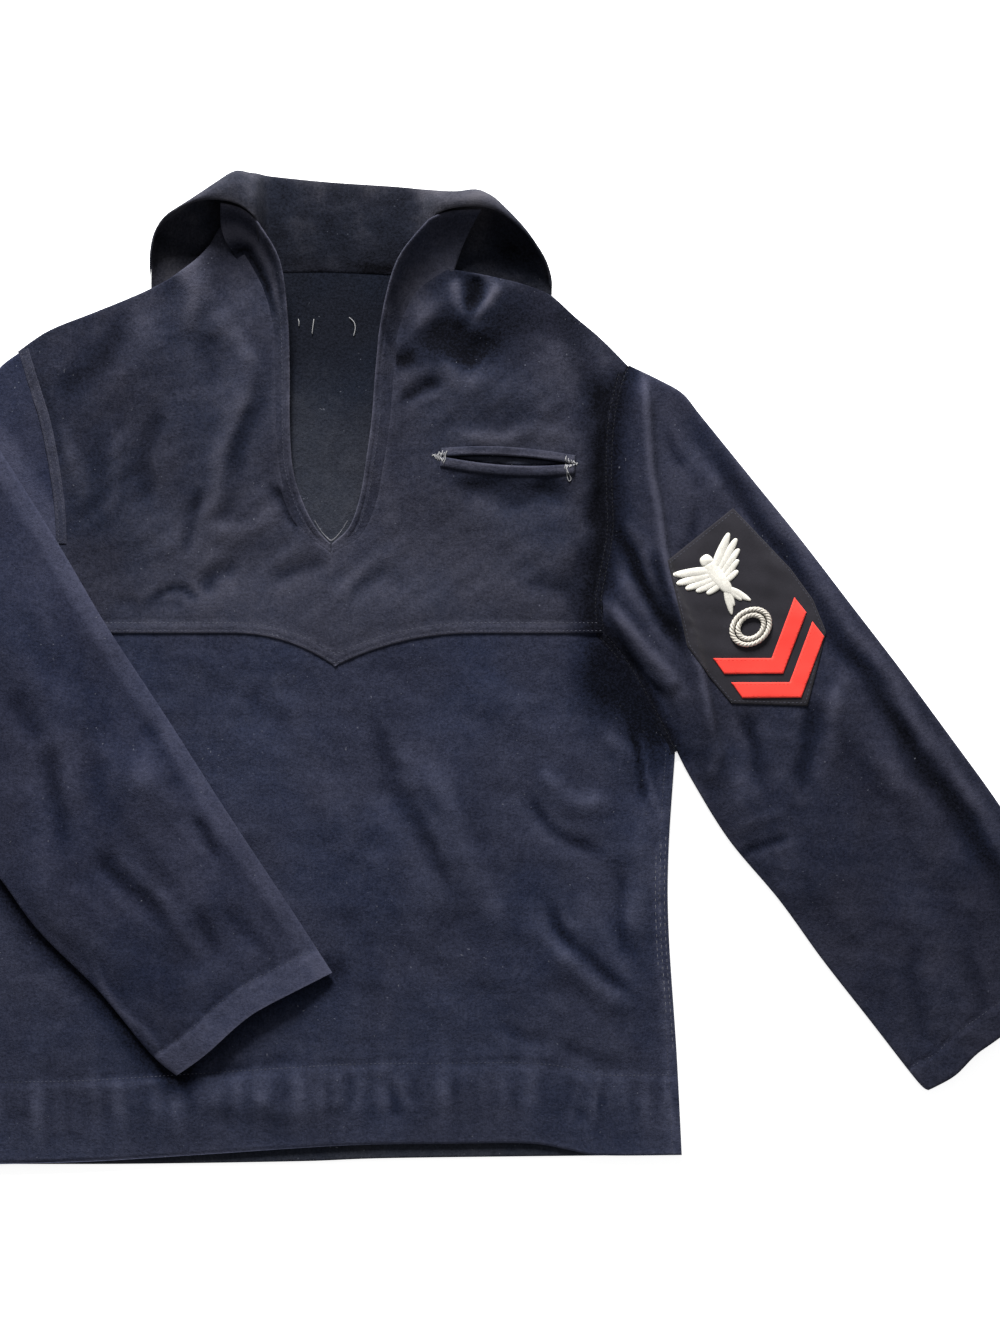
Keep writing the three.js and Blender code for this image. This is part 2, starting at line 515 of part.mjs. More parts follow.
// The ring at one station, from the plan points of its top and its underside and the levels of its two faces
const HEM_SLANT = 0.8;
function sleeveRing(top, under, levels) {
  const width = top[0].distanceTo(top[top.length - 1]);
  const middle = top[Math.floor(top.length / 2)];
  const ring = [...top, ...under].map((p, k) => {
    const [w, way] = RING_PLACES[k];
    const { low, high } = levels(p.x, p.y, w);
    const centre = (low + high) / 2;
    const share = roundness(w) * way;
    const inset = Math.max(0, CLOTH / width - Math.min(w, 1 - w) * HEM_SLANT);
    const inside = p.clone().lerp(middle, Math.min(0.5, inset * 2));
    const hollow = Math.max(SEAM / 2, Math.abs(high - low) / 2 - CLOTH) * Math.sign(high - low);
    const innerShare = Math.abs(share) > 0.01 ? Math.sign(share) : 0;
    return {
      outer: new THREE.Vector3(p.x, p.y, centre + ((high - low) / 2) * share),
      inner: new THREE.Vector3(inside.x, inside.y, centre + hollow * innerShare),
    };
  });
  return [...ring, ring[0]];
}

function tube(rings) {
  const grid = (face) => rings.map((ring) => ring.map((point) => point[face]));
  return shell([{ outer: grid("outer"), inner: grid("inner") }]);
}
const seamShift = (rows, x, y) => rows.map(([rowX, rowY]) => [rowX + x, rowY + y]);

const flatSleeve = 2 * CLOTH + SEAM;
const sleeveLevel = (s, w) => SLEEVE_PUFF * smooth(s / 0.2) * smooth(Math.min(w, 1 - w) / 0.25);
// The armhole and underarm parts of a sleeve's seam, each moved clear of the body
function sleeveSeam(armhole, underarm) {
  return path([0.7, armhole], [0.3, underarm]);
}
const sleeveRightSeam = sleeveSeam(seamShift(ARMHOLE_RIGHT, 1.3, 0.2), seamShift(UNDERARM_RIGHT, 2, 0.6));
const stationsRight = even(22);
function sleeveRightPlan(across) {
  const [over, under, cuff] = [SLEEVE_R_OVER, SLEEVE_R_UNDER, SLEEVE_R_CUFF].map(curve);
  return coons(over, under, sleeveRightSeam, cuff, across, stationsRight);
}
const BODY_LEVEL_REACH = 250; // past this x the sleeve takes the body's level from here
const JOIN_SHARE = 0.25; // share of the sleeve over which it comes down from the body's level to its own
function sleeveRightTop(x, y, s, w) {
  const own = flatSleeve + sleeveLevel(s, w);
  const joined = lerp(bodyTop(Math.min(x, BODY_LEVEL_REACH), y) - lift(x, y), own, smooth(s / JOIN_SHARE));
  return joined + Math.max(0, relief(SLEEVE_R_FOLDS, x, y)) * smooth(Math.min(w, 1 - w) / 0.06);
}
const rightTop = sleeveRightPlan(RING_TOP);
const rightUnder = sleeveRightPlan(RING_UNDER);
const sleeveRight = tube(
  stationsRight.map((s, i) => {
    const levels = (x, y, w) => ({ low: 0, high: sleeveRightTop(x, y, s, w) });
    return sleeveRing(rightTop[i], rightUnder[i], levels);
  }),
);

// The left sleeve goes from the armhole to a crease beside the body, turns over, and lies on the front.
const lowerStations = even(2);
const turnStations = even(5).slice(1);
const upperStations = even(18).slice(1);
const sleeveLeftSeam = sleeveSeam(seamShift(ARMHOLE_LEFT, -1, 0), seamShift(UNDERARM_LEFT, -0.9, 0));
function lowerPlan(across) {
  const shoulder = curve(seamShift(SLEEVE_L_SHOULDER, -0.1, -0.3));
  const pit = curve(seamShift(SLEEVE_L_PIT, 0, 0.2));
  return coons(shoulder, pit, sleeveLeftSeam, curve(CREASE_LEFT), across, lowerStations);
}
function upperPlan(across) {
  const [over, under, crease, cuff] = [SLEEVE_L_OVER, SLEEVE_L_UNDER, CREASE_LEFT, SLEEVE_L_CUFF].map(curve);
  return coons(over, under, crease, cuff, across, upperStations);
}

function foldedLevels(x, y, s, w) {
  const crease = 2 * FOLD_AXIS_HEIGHT - flatSleeve;
  const resting = lerp(crease, Math.max(crease, bodyTop(x, y) + 2 * SEAM), smooth(s / 0.1));
  const creases = Math.max(0, relief(SLEEVE_L_FOLDS, x, y)) * smooth(Math.min(w, 1 - w) / 0.08);
  return { low: resting, high: resting + flatSleeve + sleeveLevel(s, w) + creases };
}

// The ring at one angle round the crease
function turnRing(angle) {
  const crease = lowerStations.length - 1;
  function turned(p, radius) {
    return new THREE.Vector3(p.x - radius * Math.sin(angle), p.y, FOLD_AXIS_HEIGHT - radius * Math.cos(angle));
  }
  const ring = [...lowerTop[crease], ...lowerUnder[crease]].map((p, k) => {
    const [w, way] = RING_PLACES[k];
    const middle = FOLD_AXIS_HEIGHT - flatSleeve / 2;
    const share = -roundness(w) * way;
    const edge = Math.min(w, 1 - w) < 0.02 ? CLOTH * (w < 0.5 ? -1 : 1) : 0;
    const inside = new THREE.Vector2(p.x, p.y + edge);
    const hollow = Math.abs(share) > 0.01 ? (SEAM / 2) * Math.sign(share) : 0;
    return { outer: turned(p, middle + (flatSleeve / 2) * share), inner: turned(inside, middle + hollow) };
  });
  return [...ring, ring[0]];
}
const lowerTop = lowerPlan(RING_TOP);
const lowerUnder = lowerPlan(RING_UNDER);
const upperTop = upperPlan(RING_TOP);
const upperUnder = upperPlan(RING_UNDER);
const flatLevels = () => ({ low: 0, high: flatSleeve });
const lowerRings = [0, 1].map((i) => sleeveRing(lowerTop[i], lowerUnder[i], flatLevels));
const turnRings = [0, ...turnStations].map((t) => turnRing(t * Math.PI));
const upperRings = upperStations.map((s, i) =>
  sleeveRing(upperTop[i], upperUnder[i], (x, y, w) => {
    const { low, high } = foldedLevels(x, y, s, w);
    return { low: high, high: low };
  }),
);
const sleeveLeft = tube([...lowerRings, ...turnRings, ...upperRings]);

// Badge on the right sleeve, in its own frame: x across, y up towards the shoulder
const badgePlace = { x: BADGE.x, y: BADGE.y, turn: BADGE.turn };

// The sleeve's own top points, moved out by a distance, as a slab that reaches past the badge
const BADGE_STATIONS = 18;
function onSleeve(distance, thickness) {
  const moved = (rise) =>
    rightTop.slice(1, BADGE_STATIONS).map((row, i) =>
      row.slice(1, -1).map((p, k) => {
        const level = sleeveRightTop(p.x, p.y, stationsRight[i + 1], RING_TOP[k + 1]);
        return new THREE.Vector3(p.x, p.y, level + rise);
      }),
    );
  return solidOf(shell([{ outer: moved(distance + thickness), inner: moved(distance) }]));
}
function cutOnSleeve(shape, distance, thickness) {
  return geometryOf(onSleeve(distance, thickness).intersect(solidOf(prism(shape, badgePlace))));
}
const badgePatch = cutOnSleeve(polygon(BADGE_OUTLINE), SEAM, BADGE.cloth);
const aboveBadge = 2 * SEAM + BADGE.cloth;

function chevron(level) {
  const { middle, arm, width, slope } = CHEVRON;
  const tip = level + slope * arm;
  const lowerEdge = [[-arm, tip - width], [middle, level - width], [arm, tip - width]];
  const upperEdge = [[arm, tip], [middle, level], [-arm, tip]];
  return cutOnSleeve(polygon([...lowerEdge, ...upperEdge]), aboveBadge, CHEVRON.cloth);
}

// A plain swallow with spread wings and a forked tail, and a plain rope ring under it
function swallow() {
  const right = BIRD_SHAPE.map(([x, y]) => [BIRD.x + (x * BIRD.span) / 2, BIRD.y + y]);
  const left = BIRD_SHAPE.slice(1, -1).reverse().map(([x, y]) => [BIRD.x - (x * BIRD.span) / 2, BIRD.y + y]);
  return cutOnSleeve(polygon([...right, ...left]), aboveBadge, BIRD.cloth);
}
function ropeRing() {
  const shape = new THREE.Shape().absarc(RING.x, RING.y, RING.outer, 0, 2 * Math.PI);
  shape.holes.push(new THREE.Path().absarc(RING.x, RING.y, RING.inner, 0, 2 * Math.PI, true));
  return cutOnSleeve(shape, aboveBadge, RING.cloth);
}

// The assembled jumper
const wool = { color: 0x2b2e3b, roughness: 0.95, metalness: 0 };
const finishes = {
  wool,
  lining: { color: 0x23252e, roughness: 0.9, metalness: 0 },
  badge: { color: 0x24252d, roughness: 0.95, metalness: 0 },
  red: { color: 0xf04a3c, roughness: 0.9, metalness: 0 },
  white: { color: 0xf6f2e6, roughness: 0.8, metalness: 0 },
  grey: { color: 0xc9bfb2, roughness: 0.75, metalness: 0 },
};
const pieces = {
  back: [back, "wool"],
  front: [front, "wool"],
  yoke: [yoke, "wool"],
  collar: [collar, "wool"],
  lapel_left: [lapelLeft, "wool"],
  lapel_right: [lapelRight, "wool"],
  sleeve_right: [sleeveRight, "wool"],
  sleeve_left: [sleeveLeft, "wool"],
  pocket_welt_upper: [weltUpper, "wool"],
  pocket_welt_lower: [weltLower, "wool"],
  pocket_bag: [pocketBag, "lining"],
  badge_patch: [badgePatch, "badge"],
  chevron_upper: [chevron(CHEVRON.upper), "red"],
  chevron_lower: [chevron(CHEVRON.lower), "red"],
  badge_swallow: [swallow(), "white"],
  badge_ring: [ropeRing(), "grey"],
};
const jumper = new THREE.Group();
for (const [name, [geometry, finish]] of Object.entries(pieces)) {
  const mesh = new THREE.Mesh(geometry, new THREE.MeshStandardMaterial(finishes[finish]));
  mesh.name = name;
  jumper.add(mesh);
}
export default jumper;
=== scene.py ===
import math

import bpy
import numpy as np
from bpy.props import FloatProperty, FloatVectorProperty, IntProperty, PointerProperty
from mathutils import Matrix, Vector
from mathutils.bvhtree import BVHTree
from mathutils.geometry import delaunay_2d_cdt


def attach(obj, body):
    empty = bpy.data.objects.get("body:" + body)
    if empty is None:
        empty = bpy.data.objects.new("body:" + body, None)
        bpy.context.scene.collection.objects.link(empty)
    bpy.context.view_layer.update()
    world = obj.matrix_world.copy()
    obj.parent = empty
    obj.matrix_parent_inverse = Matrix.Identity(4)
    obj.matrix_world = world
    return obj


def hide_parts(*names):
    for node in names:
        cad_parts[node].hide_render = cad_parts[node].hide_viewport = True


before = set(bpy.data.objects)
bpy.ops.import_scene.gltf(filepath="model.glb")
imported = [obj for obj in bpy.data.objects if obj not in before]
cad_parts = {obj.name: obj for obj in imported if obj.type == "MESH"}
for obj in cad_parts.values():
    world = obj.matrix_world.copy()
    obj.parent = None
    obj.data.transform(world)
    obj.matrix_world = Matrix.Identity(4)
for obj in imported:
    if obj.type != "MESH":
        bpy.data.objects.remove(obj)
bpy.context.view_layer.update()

bl_info = {
    "name": "Sailor jumper",
    "version": (1, 0, 0),
    "blender": (4, 5, 0),
    "location": "View3D > Sidebar > Jumper",
    "description": "A sailor's wool jumper laid out flat, with one sleeve folded over",
    "category": "Add Mesh",
}

MM = 0.001
BODY = "root"

# The plan of the jumper, in millimetres from the origin under the point of the yoke. Each row is [x, y].
SHOULDER_LEFT = [
    [-239, 238], [-215, 254], [-177, 269], [-139, 285], [-112, 300], [-95, 316], [-84, 333], [-73, 327], [-66, 312],
]
SHOULDER_RIGHT = [[88, 301], [127, 293], [150, 287], [166, 280], [184, 264], [203, 248], [224, 227]]
ARMHOLE_LEFT = [[-239, 238], [-230, 209], [-221, 179], [-214, 141], [-210, 103], [-212, 65], [-222, 24]]
ARMHOLE_RIGHT = [[224, 227], [219, 214], [213, 186], [211, 148], [212, 103], [207, 72], [203, 49], [205, 24]]
UNDERARM_LEFT = [[-222, 24], [-234, -5], [-247, -35], [-259, -65]]
UNDERARM_RIGHT = [[205, 24], [222, 4], [241, -28], [260, -66]]
SIDE_LEFT = [[-259, -65], [-257, -140], [-257, -210], [-261, -290], [-264, -379]]
SIDE_RIGHT = [[260, -66], [255, -141], [255, -201], [261, -293], [265, -372]]
BACK_HEM = [[-264, -379], [-158, -379], [-25, -377], [51, -374.5], [265, -372]]
FRONT_HEM = [
    [-264, -378], [-185, -376], [-101, -371], [12, -364], [90, -363], [150, -363], [180, -368], [203, -372],
    [265, -372],
]
BACK_NECK = [[-66, 303], [-50, 300], [0, 300], [50, 298], [88, 300]]
NECK_SEAM_LEFT = [
    [-1, 86], [-18, 99], [-33, 122], [-39, 148], [-42, 182], [-43, 220], [-44, 255], [-52, 286], [-66, 312],
]
NECK_SEAM_RIGHT = [
    [-1, 86], [20, 98], [32, 122], [38, 152], [43, 186], [46, 222], [50, 256], [64, 284], [87, 301],
]
RIM_LEFT = [
    [-1.4, 92], [-12.4, 104], [-23, 125], [-30, 150], [-32, 185], [-32, 225], [-33.4, 265], [-39, 305], [-55, 333],
]
RIM_RIGHT = [
    [-0.6, 92], [13, 105], [21, 128], [26, 158], [30, 188], [33, 226], [38, 265], [50, 306], [73, 335],
]
FOOT_END_LEFT = [[-66, 312], [-70, 310], [-73, 307]]
FOOT_END_RIGHT = [[87, 301], [90, 299], [92, 298]]
RIM_END_LEFT = [[-55, 333], [-61, 339], [-70, 344.5], [-83, 347.5]]
RIM_END_RIGHT = [[73, 335], [80, 338.6], [92, 341.8], [113, 342.6]]
SLEEVE_R_OVER = [
    [225, 227.5], [249, 216], [266, 206], [279, 190], [317, 143], [355, 96], [393, 46.5], [431, -3], [469, -54.5],
    [502, -100], [533, -147], [584, -226],
]
SLEEVE_R_UNDER = [
    [261.5, -66], [273, -88], [301, -133], [339, -178.5], [372, -224], [408, -270], [443, -315], [452, -323],
]
SLEEVE_R_CUFF = [[584, -226], [507, -282], [488, -295.5], [472, -311.5], [452, -323]]
SLEEVE_L_OVER = [[-270, 188], [-252, 163], [-207, 91], [-169, 27], [-124, -42], [-78, -114], [-33, -182], [0, -233]]
SLEEVE_L_UNDER = [[-281, -128], [-253, -160], [-223, -201], [-177, -247], [-139, -293], [-118, -311]]
SLEEVE_L_CUFF = [[0, -233], [-48, -257], [-68, -270], [-96, -295], [-118, -311]]
CREASE_LEFT = [[-270, 188], [-280, 100], [-287, 0], [-287, -70], [-281, -128]]
SLEEVE_L_SHOULDER = [[-239.9, 238.3], [-256, 222], [-270, 188]]
SLEEVE_L_PIT = [[-259.9, -65.2], [-270, -98], [-281, -128]]

# The yoke's shoulder lines, which end at the neck seam
YOKE_SHOULDER_LEFT = SHOULDER_LEFT[:8] + [NECK_SEAM_LEFT[-1]]
YOKE_SHOULDER_RIGHT = [NECK_SEAM_RIGHT[-1]] + SHOULDER_RIGHT[1:]

# Sizes across the plan, in millimetres, from which the meshes take their number of points
CHEST = 530
HALF_YOKE = 232
SLEEVE_WIDTH = 250
SLEEVE_LENGTH = 610
SLEEVE_ON_FRONT = 450
SLEEVE_BESIDE = 60

# Levels of the layers, in millimetres: CLOTH is the thickness of one layer and CLEAR the least gap over the back
CLOTH = 1.6
SEAM = 0.4
TWO_LAYERS = 2 * CLOTH + SEAM
CLEAR = 0.25
BODY_HALF_WIDTH = 257
BODY_PUFF = 2.0
SLEEVE_PUFF = 2.6
FLAP = {"left": -138, "right": 166, "bottom": 188, "ramp": 90}
YOKE = {"level": 24, "drop": 25, "x": 2, "left": 80, "right": 110, "overlap": 10}
FOLD_AXIS = 4.6

# Folds: a bowed ridge or trough from (x0, y0) to (x1, y1). lean is its width on the left-hand side, seen from the
# start, and slope on the right-hand side. A row is x0, y0, x1, y1, bow, lean, slope, height, in millimetres.
FOLD_COLUMNS = ("x0", "y0", "x1", "y1", "bow", "lean", "slope", "height")
YOKE_FOLDS = [
    (-66, 262, -96, 110, 8, 10, 22, 1.9),
    (-50, 222, -76, 130, -4, 12, 12, -0.8),
    (-110, 330, -80, 240, -12, 22, 14, 6.0),
    (-230, 214, -120, 262, -6, 18, 26, 2.4),
    (62, 292, 96, 176, 6, 20, 14, 4.0),
    (124, 300, 104, 236, 5, 14, 18, 4.2),
    (80, 200, 190, 196, 12, 22, 26, 2.4),
    (196, 196, 190, 52, -6, 14, 26, 3.0),
    (-190, 120, -60, 62, 10, 24, 24, 1.8),
]
FRONT_FOLDS = [
    (60, -20, 176, -250, -22, 34, 30, 3.2),
    (236, -84, 216, -226, 12, 14, 18, 3.4),
    (168, -196, 240, -262, -12, 16, 12, 2.8),
    (20, -90, 96, -300, 14, 30, 34, 2.2),
    (-120, -322, 30, -350, 5, 16, 14, 1.8),
]
SLEEVE_R_FOLDS = [
    (248, 236, 566, -226, 0, 10, 9, 3.2),
    (236, 240, 541, -213, 3, 10, 12, -3.8),
    (268, 172, 394, -8, -4, 16, 22, 1.5),
    (356, 12, 470, -176, 10, 30, 14, 3.4),
    (300, -60, 372, -190, -14, 22, 24, 2.8),
    (420, -150, 470, -290, 6, 22, 24, 2.2),
]
SLEEVE_L_FOLDS = [
    (-240, 60, -206, -150, 16, 22, 28, 3.4),
    (-170, -40, -96, -220, 12, 30, 24, 3.6),
    (-236, -130, -150, -244, -8, 18, 22, 2.8),
    (-120, -262, -44, -220, 8, 20, 24, 3.0),
]

# The crest beside the armhole of the spread sleeve: a long slope on the body's side and a short drop outside
SLEEVE_RIDGE = [[236, 232], [238, 211], [242, 152], [248, 118], [256, 69], [275, 17], [290, -53], [305, -98]]
RIDGE = {"height": 7.5, "inside": 19, "outside": 3.2}
# The tuck of cloth below it, drawn round its edge
TUCK = [[203, 48], [228, 75], [234, 56], [246, 33], [259, 11], [266, -14], [255, -23], [236, -11], [223, 11], [212, 30]]
TUCK_HEIGHT = 2.8

# Smaller creases, which only the finished cloth has
YOKE_CREASES = [
    (-57, 227, -101, 86, -4, 5, 11, 1.1),
    (-52, 214, -84, 91, -4, 7, 6, -0.8),
    (-49, 138, -24, 98, 0, 4, 4, -2.4),
    (-97, 98, -36, 110, 0, 9, 9, 2.2),
    (-103, 55, -65, 80, 0, 6, 7, -2.4),
    (-143, 48, -100, 49, 7, 3.5, 5, -2.4),
    (-57, 65, 4, 82, -2, 7, 7, -1.9),
    (-145, 274, -218, 195, 4, 14, 13, -4.3),
    (-128, 205, -141, 109, -3, 6, 8, -1.8),
    (-106, 142, -112, 75, 2, 5, 6, -1.9),
    (-97, 283, -90, 201, -3, 9, 9, -2.6),
    (-160, 188, -174, 104, 0, 8, 8, 1.7),
    (-84, 282, -53, 220, -4, 7, 10, 1.2),
    (46, 230, 66, 235, 0, 6, 7, -2.9),
    (49, 198, 87, 212, 3, 5, 5, -3.1),
    (66, 261, 116, 223, 4, 15, 14, -6.0),
    (161, 277, 204, 177, 10, 15, 15, -4.3),
    (207, 201, 206, 19, 3, 10, 9, -3.6),
    (81, 173, 197, 171, 3, 6, 7, 1.9),
    (86, 135, 192, 130, -4, 8, 11, -3.4),
    (93, 302, 150, 283, 2, 6, 7, 2.2),
    (88, 296, 104, 258, -2, 4, 5, 2.8),
    (124, 294, 108, 258, 2, 5, 4, 2.8),
    (107, 296, 106, 266, 0, 5, 5, -3.4),
    (9, 57, 66, 68, 4, 8, 8, -1.2),
    (-207, 186, -189, 110, 4, 9, 9, 1.7),
    (-230, 223, -203, 141, 4, 5, 7, -1.4),
    (127, 95, 195, 80, 0, 10, 12, 1.1),
    (36, 182, 49, 95, -3, 6, 8, 1.2),
    (-2, 49, 30, 80, 0, 7, 7, 1.1),
    (-169, 49, -101, 36, 3, 7, 7, -1.1),
    (142, 65, 195, 49, 0, 8, 8, -1.1),
]
FRONT_CREASES = [
    (30, -34, 98, -185, -6, 8, 12, -3),
    (69, -74, 118, -175, 4, 11, 10, 2.1),
    (141, -97, 214, -143, -7, 4, 7, -2.4),
    (154, -78, 215, -112, -3, 8, 10, 2.4),
    (163, -169, 239, -259, -10, 4, 7, -2.7),
    (183, -162, 242, -244, -8, 9, 9, 1.9),
    (212, -142, 221, -232, 3, 6, 6, -2.1),
    (125, -270, 174, -287, -3, 6, 7, -1.1),
    (163, -287, 233, -302, 0, 6, 7, -1),
    (207, 19, 255, -63, 0, 9, 15, -4),
    (224, -38, 238, -106, 1, 3.5, 4, -2.4),
    (233, -48, 247, -114, 1, 4, 3.5, 2.0),
    (-49, -308, -54, -340, 0, 5, 5, 1),
    (-2, -306, 0, -337, 0, 5, 5, 1.3),
    (10, -306, 12, -340, 0, 4, 4, -1.1),
    (37, -305, 52, -350, 0, 6, 6, -1.3),
    (49, -306, 57, -347, 0, 4, 4, 1),
    (184, -311, 189, -352, 0, 5, 6, -1),
    (-25, -87, 21, -148, 8, 16, 18, 1.1),
    (-78, -27, -25, -49, 4, 12, 14, -1),
    (66, -209, 173, -224, 10, 14, 16, -1),
    (200, -53, 233, -72, 0, 7, 8, 1.5),
    (104, -27, 157, -42, 6, 12, 12, 1),
    (13, -179, 30, -285, 6, 10, 12, -1.1),
    (-101, -306, -10, -300, 0, 5, 6, -1),
    (-207, -323, -116, -318, 0, 6, 8, 0.8),
    (104, -148, 127, -224, 4, 8, 9, 1),
]
SLEEVE_R_CREASES = [
    (209, 116, 274, -5, 0, 5, 7, -5.9),
    (200, 59, 279, -39, -2, 8, 8, 3.9),
    (207, 19, 261, -66, 0, 8, 6, -3.5),
    (312, -27, 328, -101, 3, 7, 7, -2.7),
    (367, -22, 355, -107, -3, 8, 6, -2.9),
    (384, 4, 378, -80, 0, 7, 7, 1.8),
    (303, -141, 349, -134, 2, 3.5, 4, -2.4),
    (303, -118, 349, -113, 2, 5, 5, 1.5),
    (308, 123, 353, 55, -2, 4, 5, 2),
    (440, -201, 448, -303, 3, 7, 8, -1.5),
    (271, 174, 296, 125, 0, 6, 6, 1.4),
    (252, 186, 271, 148, 0, 4, 5, -1.4),
    (279, 125, 255, 80, 3, 5, 5, -1.4),
    (408, -87, 431, -179, 8, 10, 12, 1.1),
    (340, -148, 401, -239, 8, 12, 14, -1.2),
    (431, -156, 477, -224, -5, 12, 12, 0.9),
    (294, -49, 279, -95, 3, 6, 6, 1.4),
    (477, -209, 492, -277, 3, 8, 8, -1.1),
]
SLEEVE_L_CREASES = [
    (-221, -49, -201, -151, 3, 8, 9, -3.1),
    (-182, -135, -115, -203, -3, 8, 8, -2.9),
    (-111, -112, -86, -150, 2, 5, 5, -2),
    (-250, -22, -220, -60, 4, 12, 10, -2.2),
    (-148, -27, -104, -107, -4, 8, 9, -1.4),
    (-174, -53, -162, -107, 2, 7, 7, 1.2),
    (-188, -220, -121, -308, 0, 2.6, 3, 1.4),
    (-194, -224, -128, -312, 0, 2.4, 2.4, -1.1),
    (-207, -163, -154, -209, 4, 10, 11, 1.3),
    (-101, -175, -87, -226, 3, 6, 7, -1),
    (-207, 80, -169, -11, 6, 14, 16, 1.1),
    (-238, 49, -207, -27, 4, 10, 12, -1.1),
    (-139, -163, -86, -224, -4, 9, 10, 1.1),
    (-78, -179, -55, -224, 0, 7, 8, -0.9),
]

# Soft spots of painted light and painted shade: x, y, half width and half height in millimetres, and how much paler
# (darker below 0) the cloth is painted
# Painted shade in the dark corner of the front under the right sleeve's tuck
FRONT_SHADE_SPOTS = [(242, -28, 18, 44, -1.5), (214, -4, 24, 30, -2.0)]
# Painted shade by the right of the neck and on the shoulders, painted light on the puckers, the fold and the middle of
# the yoke
YOKE_LIGHT_AND_SHADE_SPOTS = [
    (95, 243, 28, 15, -1.7), (66, 262, 12, 20, 0.25), (107, 283, 6, 11, -0.8), (54, 229, 10, 5, -0.4),
    (92, 282, 4, 14, 0.4), (120, 277, 5, 12, 0.4), (106, 258, 9, 4, 0.35), (-66, 262, 12, 34, 0.25),
    (146, 262, 40, 14, -0.35), (118, 268, 60, 34, -0.35), (-190, 220, 60, 44, -0.3), (-178, 120, 40, 70, -0.22),
    (10, 60, 150, 44, 0.22),
]
# Painted shade in the collar's hollows and under its stand, and a painted highlight on its right peak
COLLAR_LIGHT_AND_SHADE_SPOTS = [(139, 316, 24, 18, -0.75), (-98, 322, 24, 16, -0.2), (108, 352, 20, 7, 0.6), (33, 301, 17, 5, -0.8)]
# Painted light on the right sleeve beyond its crest
SLEEVE_R_LIGHT_SPOTS = [(262, 150, 14, 50, 0.22)]

# How far the folds' lines wander, over what length, and the seed; then how much their height comes and goes
WANDER = ((3.0, 62, 201), (0.5, 24, 203))
FULLNESS = (0.22, 56, 205)

# Along the collar: x and the height of its top, then x and how far its front edge is the free rim
COLLAR_TOP = [
    [-138, 7], [-134, 13], [-128, 18], [-118, 23], [-104, 27], [-90, 29], [-76, 29], [-64, 28], [-57, 26], [-53, 16],
    [-49, 9], [-38, 7], [-20, 6.6], [0, 6], [22, 6], [42, 6.4], [56, 7.5], [66, 11], [73, 19], [79, 25], [88, 28],
    [100, 29], [114, 29], [128, 27], [142, 23], [153, 18], [161, 13], [166, 7],
]
COLLAR_RIM_SHARE = [[-138, 1], [-57, 1], [-53, 0.4], [-49, 0], [66, 0], [73, 0.5], [79, 1], [166, 1]]
COLLAR_FOLD_LINE = [
    [-138, 314], [-132, 331], [-110, 348], [-90, 362.5], [-73, 373], [-60, 371.5], [-6, 366], [51, 362], [89, 357.5],
    [108, 359], [118, 355.5], [127, 349], [146, 329], [157, 312], [163, 300], [166, 285],
]
COLLAR_RIM = [
    [-138, 291], [-136, 315], [-128, 335], [-112, 345], [-91, 349.5], [-70, 346], [-56, 335], [-50, 326], [62, 326],
    [74, 336], [89, 342.5], [109, 344.5], [126, 340.5], [144, 327.5], [158, 312], [165, 296], [166, 281],
]
# Across the collar: how far from front edge to fold, how high there, and how far on below the back
COLLAR_REACH = [0, 0.3, 0.6, 0.86, 1, 0.92]
COLLAR_RISE = [1, 1.04, 0.96, 0.74, 0.42, 0.12]
COLLAR_UNDER = [0.08, 0.2, 0.45, 0.72, 1]

# The pocket and the badge, in millimetres; a turn is in radians
POCKET = {"x": 133, "y": 155, "turn": -0.058, "half": 48.5, "slit": 7.2}
TACKS = {"left": (-57, -47.5, 6.2), "right": (52.4, 43.5, 5.0)}
BADGE = {"x": 313.3, "y": 36.2, "turn": 0.6435}
BADGE_OUTLINE = [
    [-22, 70], [-35, 40], [-49, 9], [-49.5, -20], [-48, -46], [-3, -82], [42, -46], [49, -20], [49.5, 9], [42, 72],
]
CHEVRON_LEVELS = {"upper": -36.5, "lower": -59.3}
CHEVRON = {"arm": 39, "width": 14.6, "slope": 0.68}
SWALLOW = {"x": 1.6, "y": 35.5, "scale": 1.06}
RING = {"x": -1.5, "y": -8, "coils": (12.2, 8.3), "twist": 0.85, "strand": 1.05}


# The same wool has faded differently on each piece: the shares of red, green and blue that it throws back
WOOL_TONES = {
    "yoke": (1.2, 1.15, 1.16),
    "front": (1.18, 1.21, 1.38),
    "sleeve_right": (0.98, 0.96, 1.05),
    "sleeve_left": (1.06, 1.07, 1.24),
    "collar": (1.08, 1.0, 0.88),
    "back": (0.86, 0.87, 0.81),
    "lining": (0.85, 0.85, 0.85),
}


def measure(name, description, default, least=0.0):
    """A length property, in metres."""
    return FloatProperty(name=name, description=description, default=default, min=least, unit="LENGTH")


class JumperSizes(bpy.types.PropertyGroup):
    """Sizes of the cloth and its sewing."""

    cloth: measure("Cloth", "Thickness of the wool cloth", 0.0016, 0.001)
    grid: measure("Grid", "Spacing of the cloth's mesh", 0.0036, 0.002)
    hem: measure("Hem", "Depth of the turned hem", 0.061)
    cuff: measure("Cuff", "Depth of the cuff's turn-up", 0.022)
    pitch: measure("Stitch pitch", "Distance between two stitches", 0.0031, 0.001)
    thread: measure("Thread", "Thickness of the sewing thread", 0.0006)
    seed: IntProperty(name="Seed", description="Start of every random choice", default=7)


def colour(name, description, default):
    """A colour property, in linear light."""
    return FloatVectorProperty(
        name=name, description=description, subtype="COLOR", size=3, min=0, max=1, default=default
    )


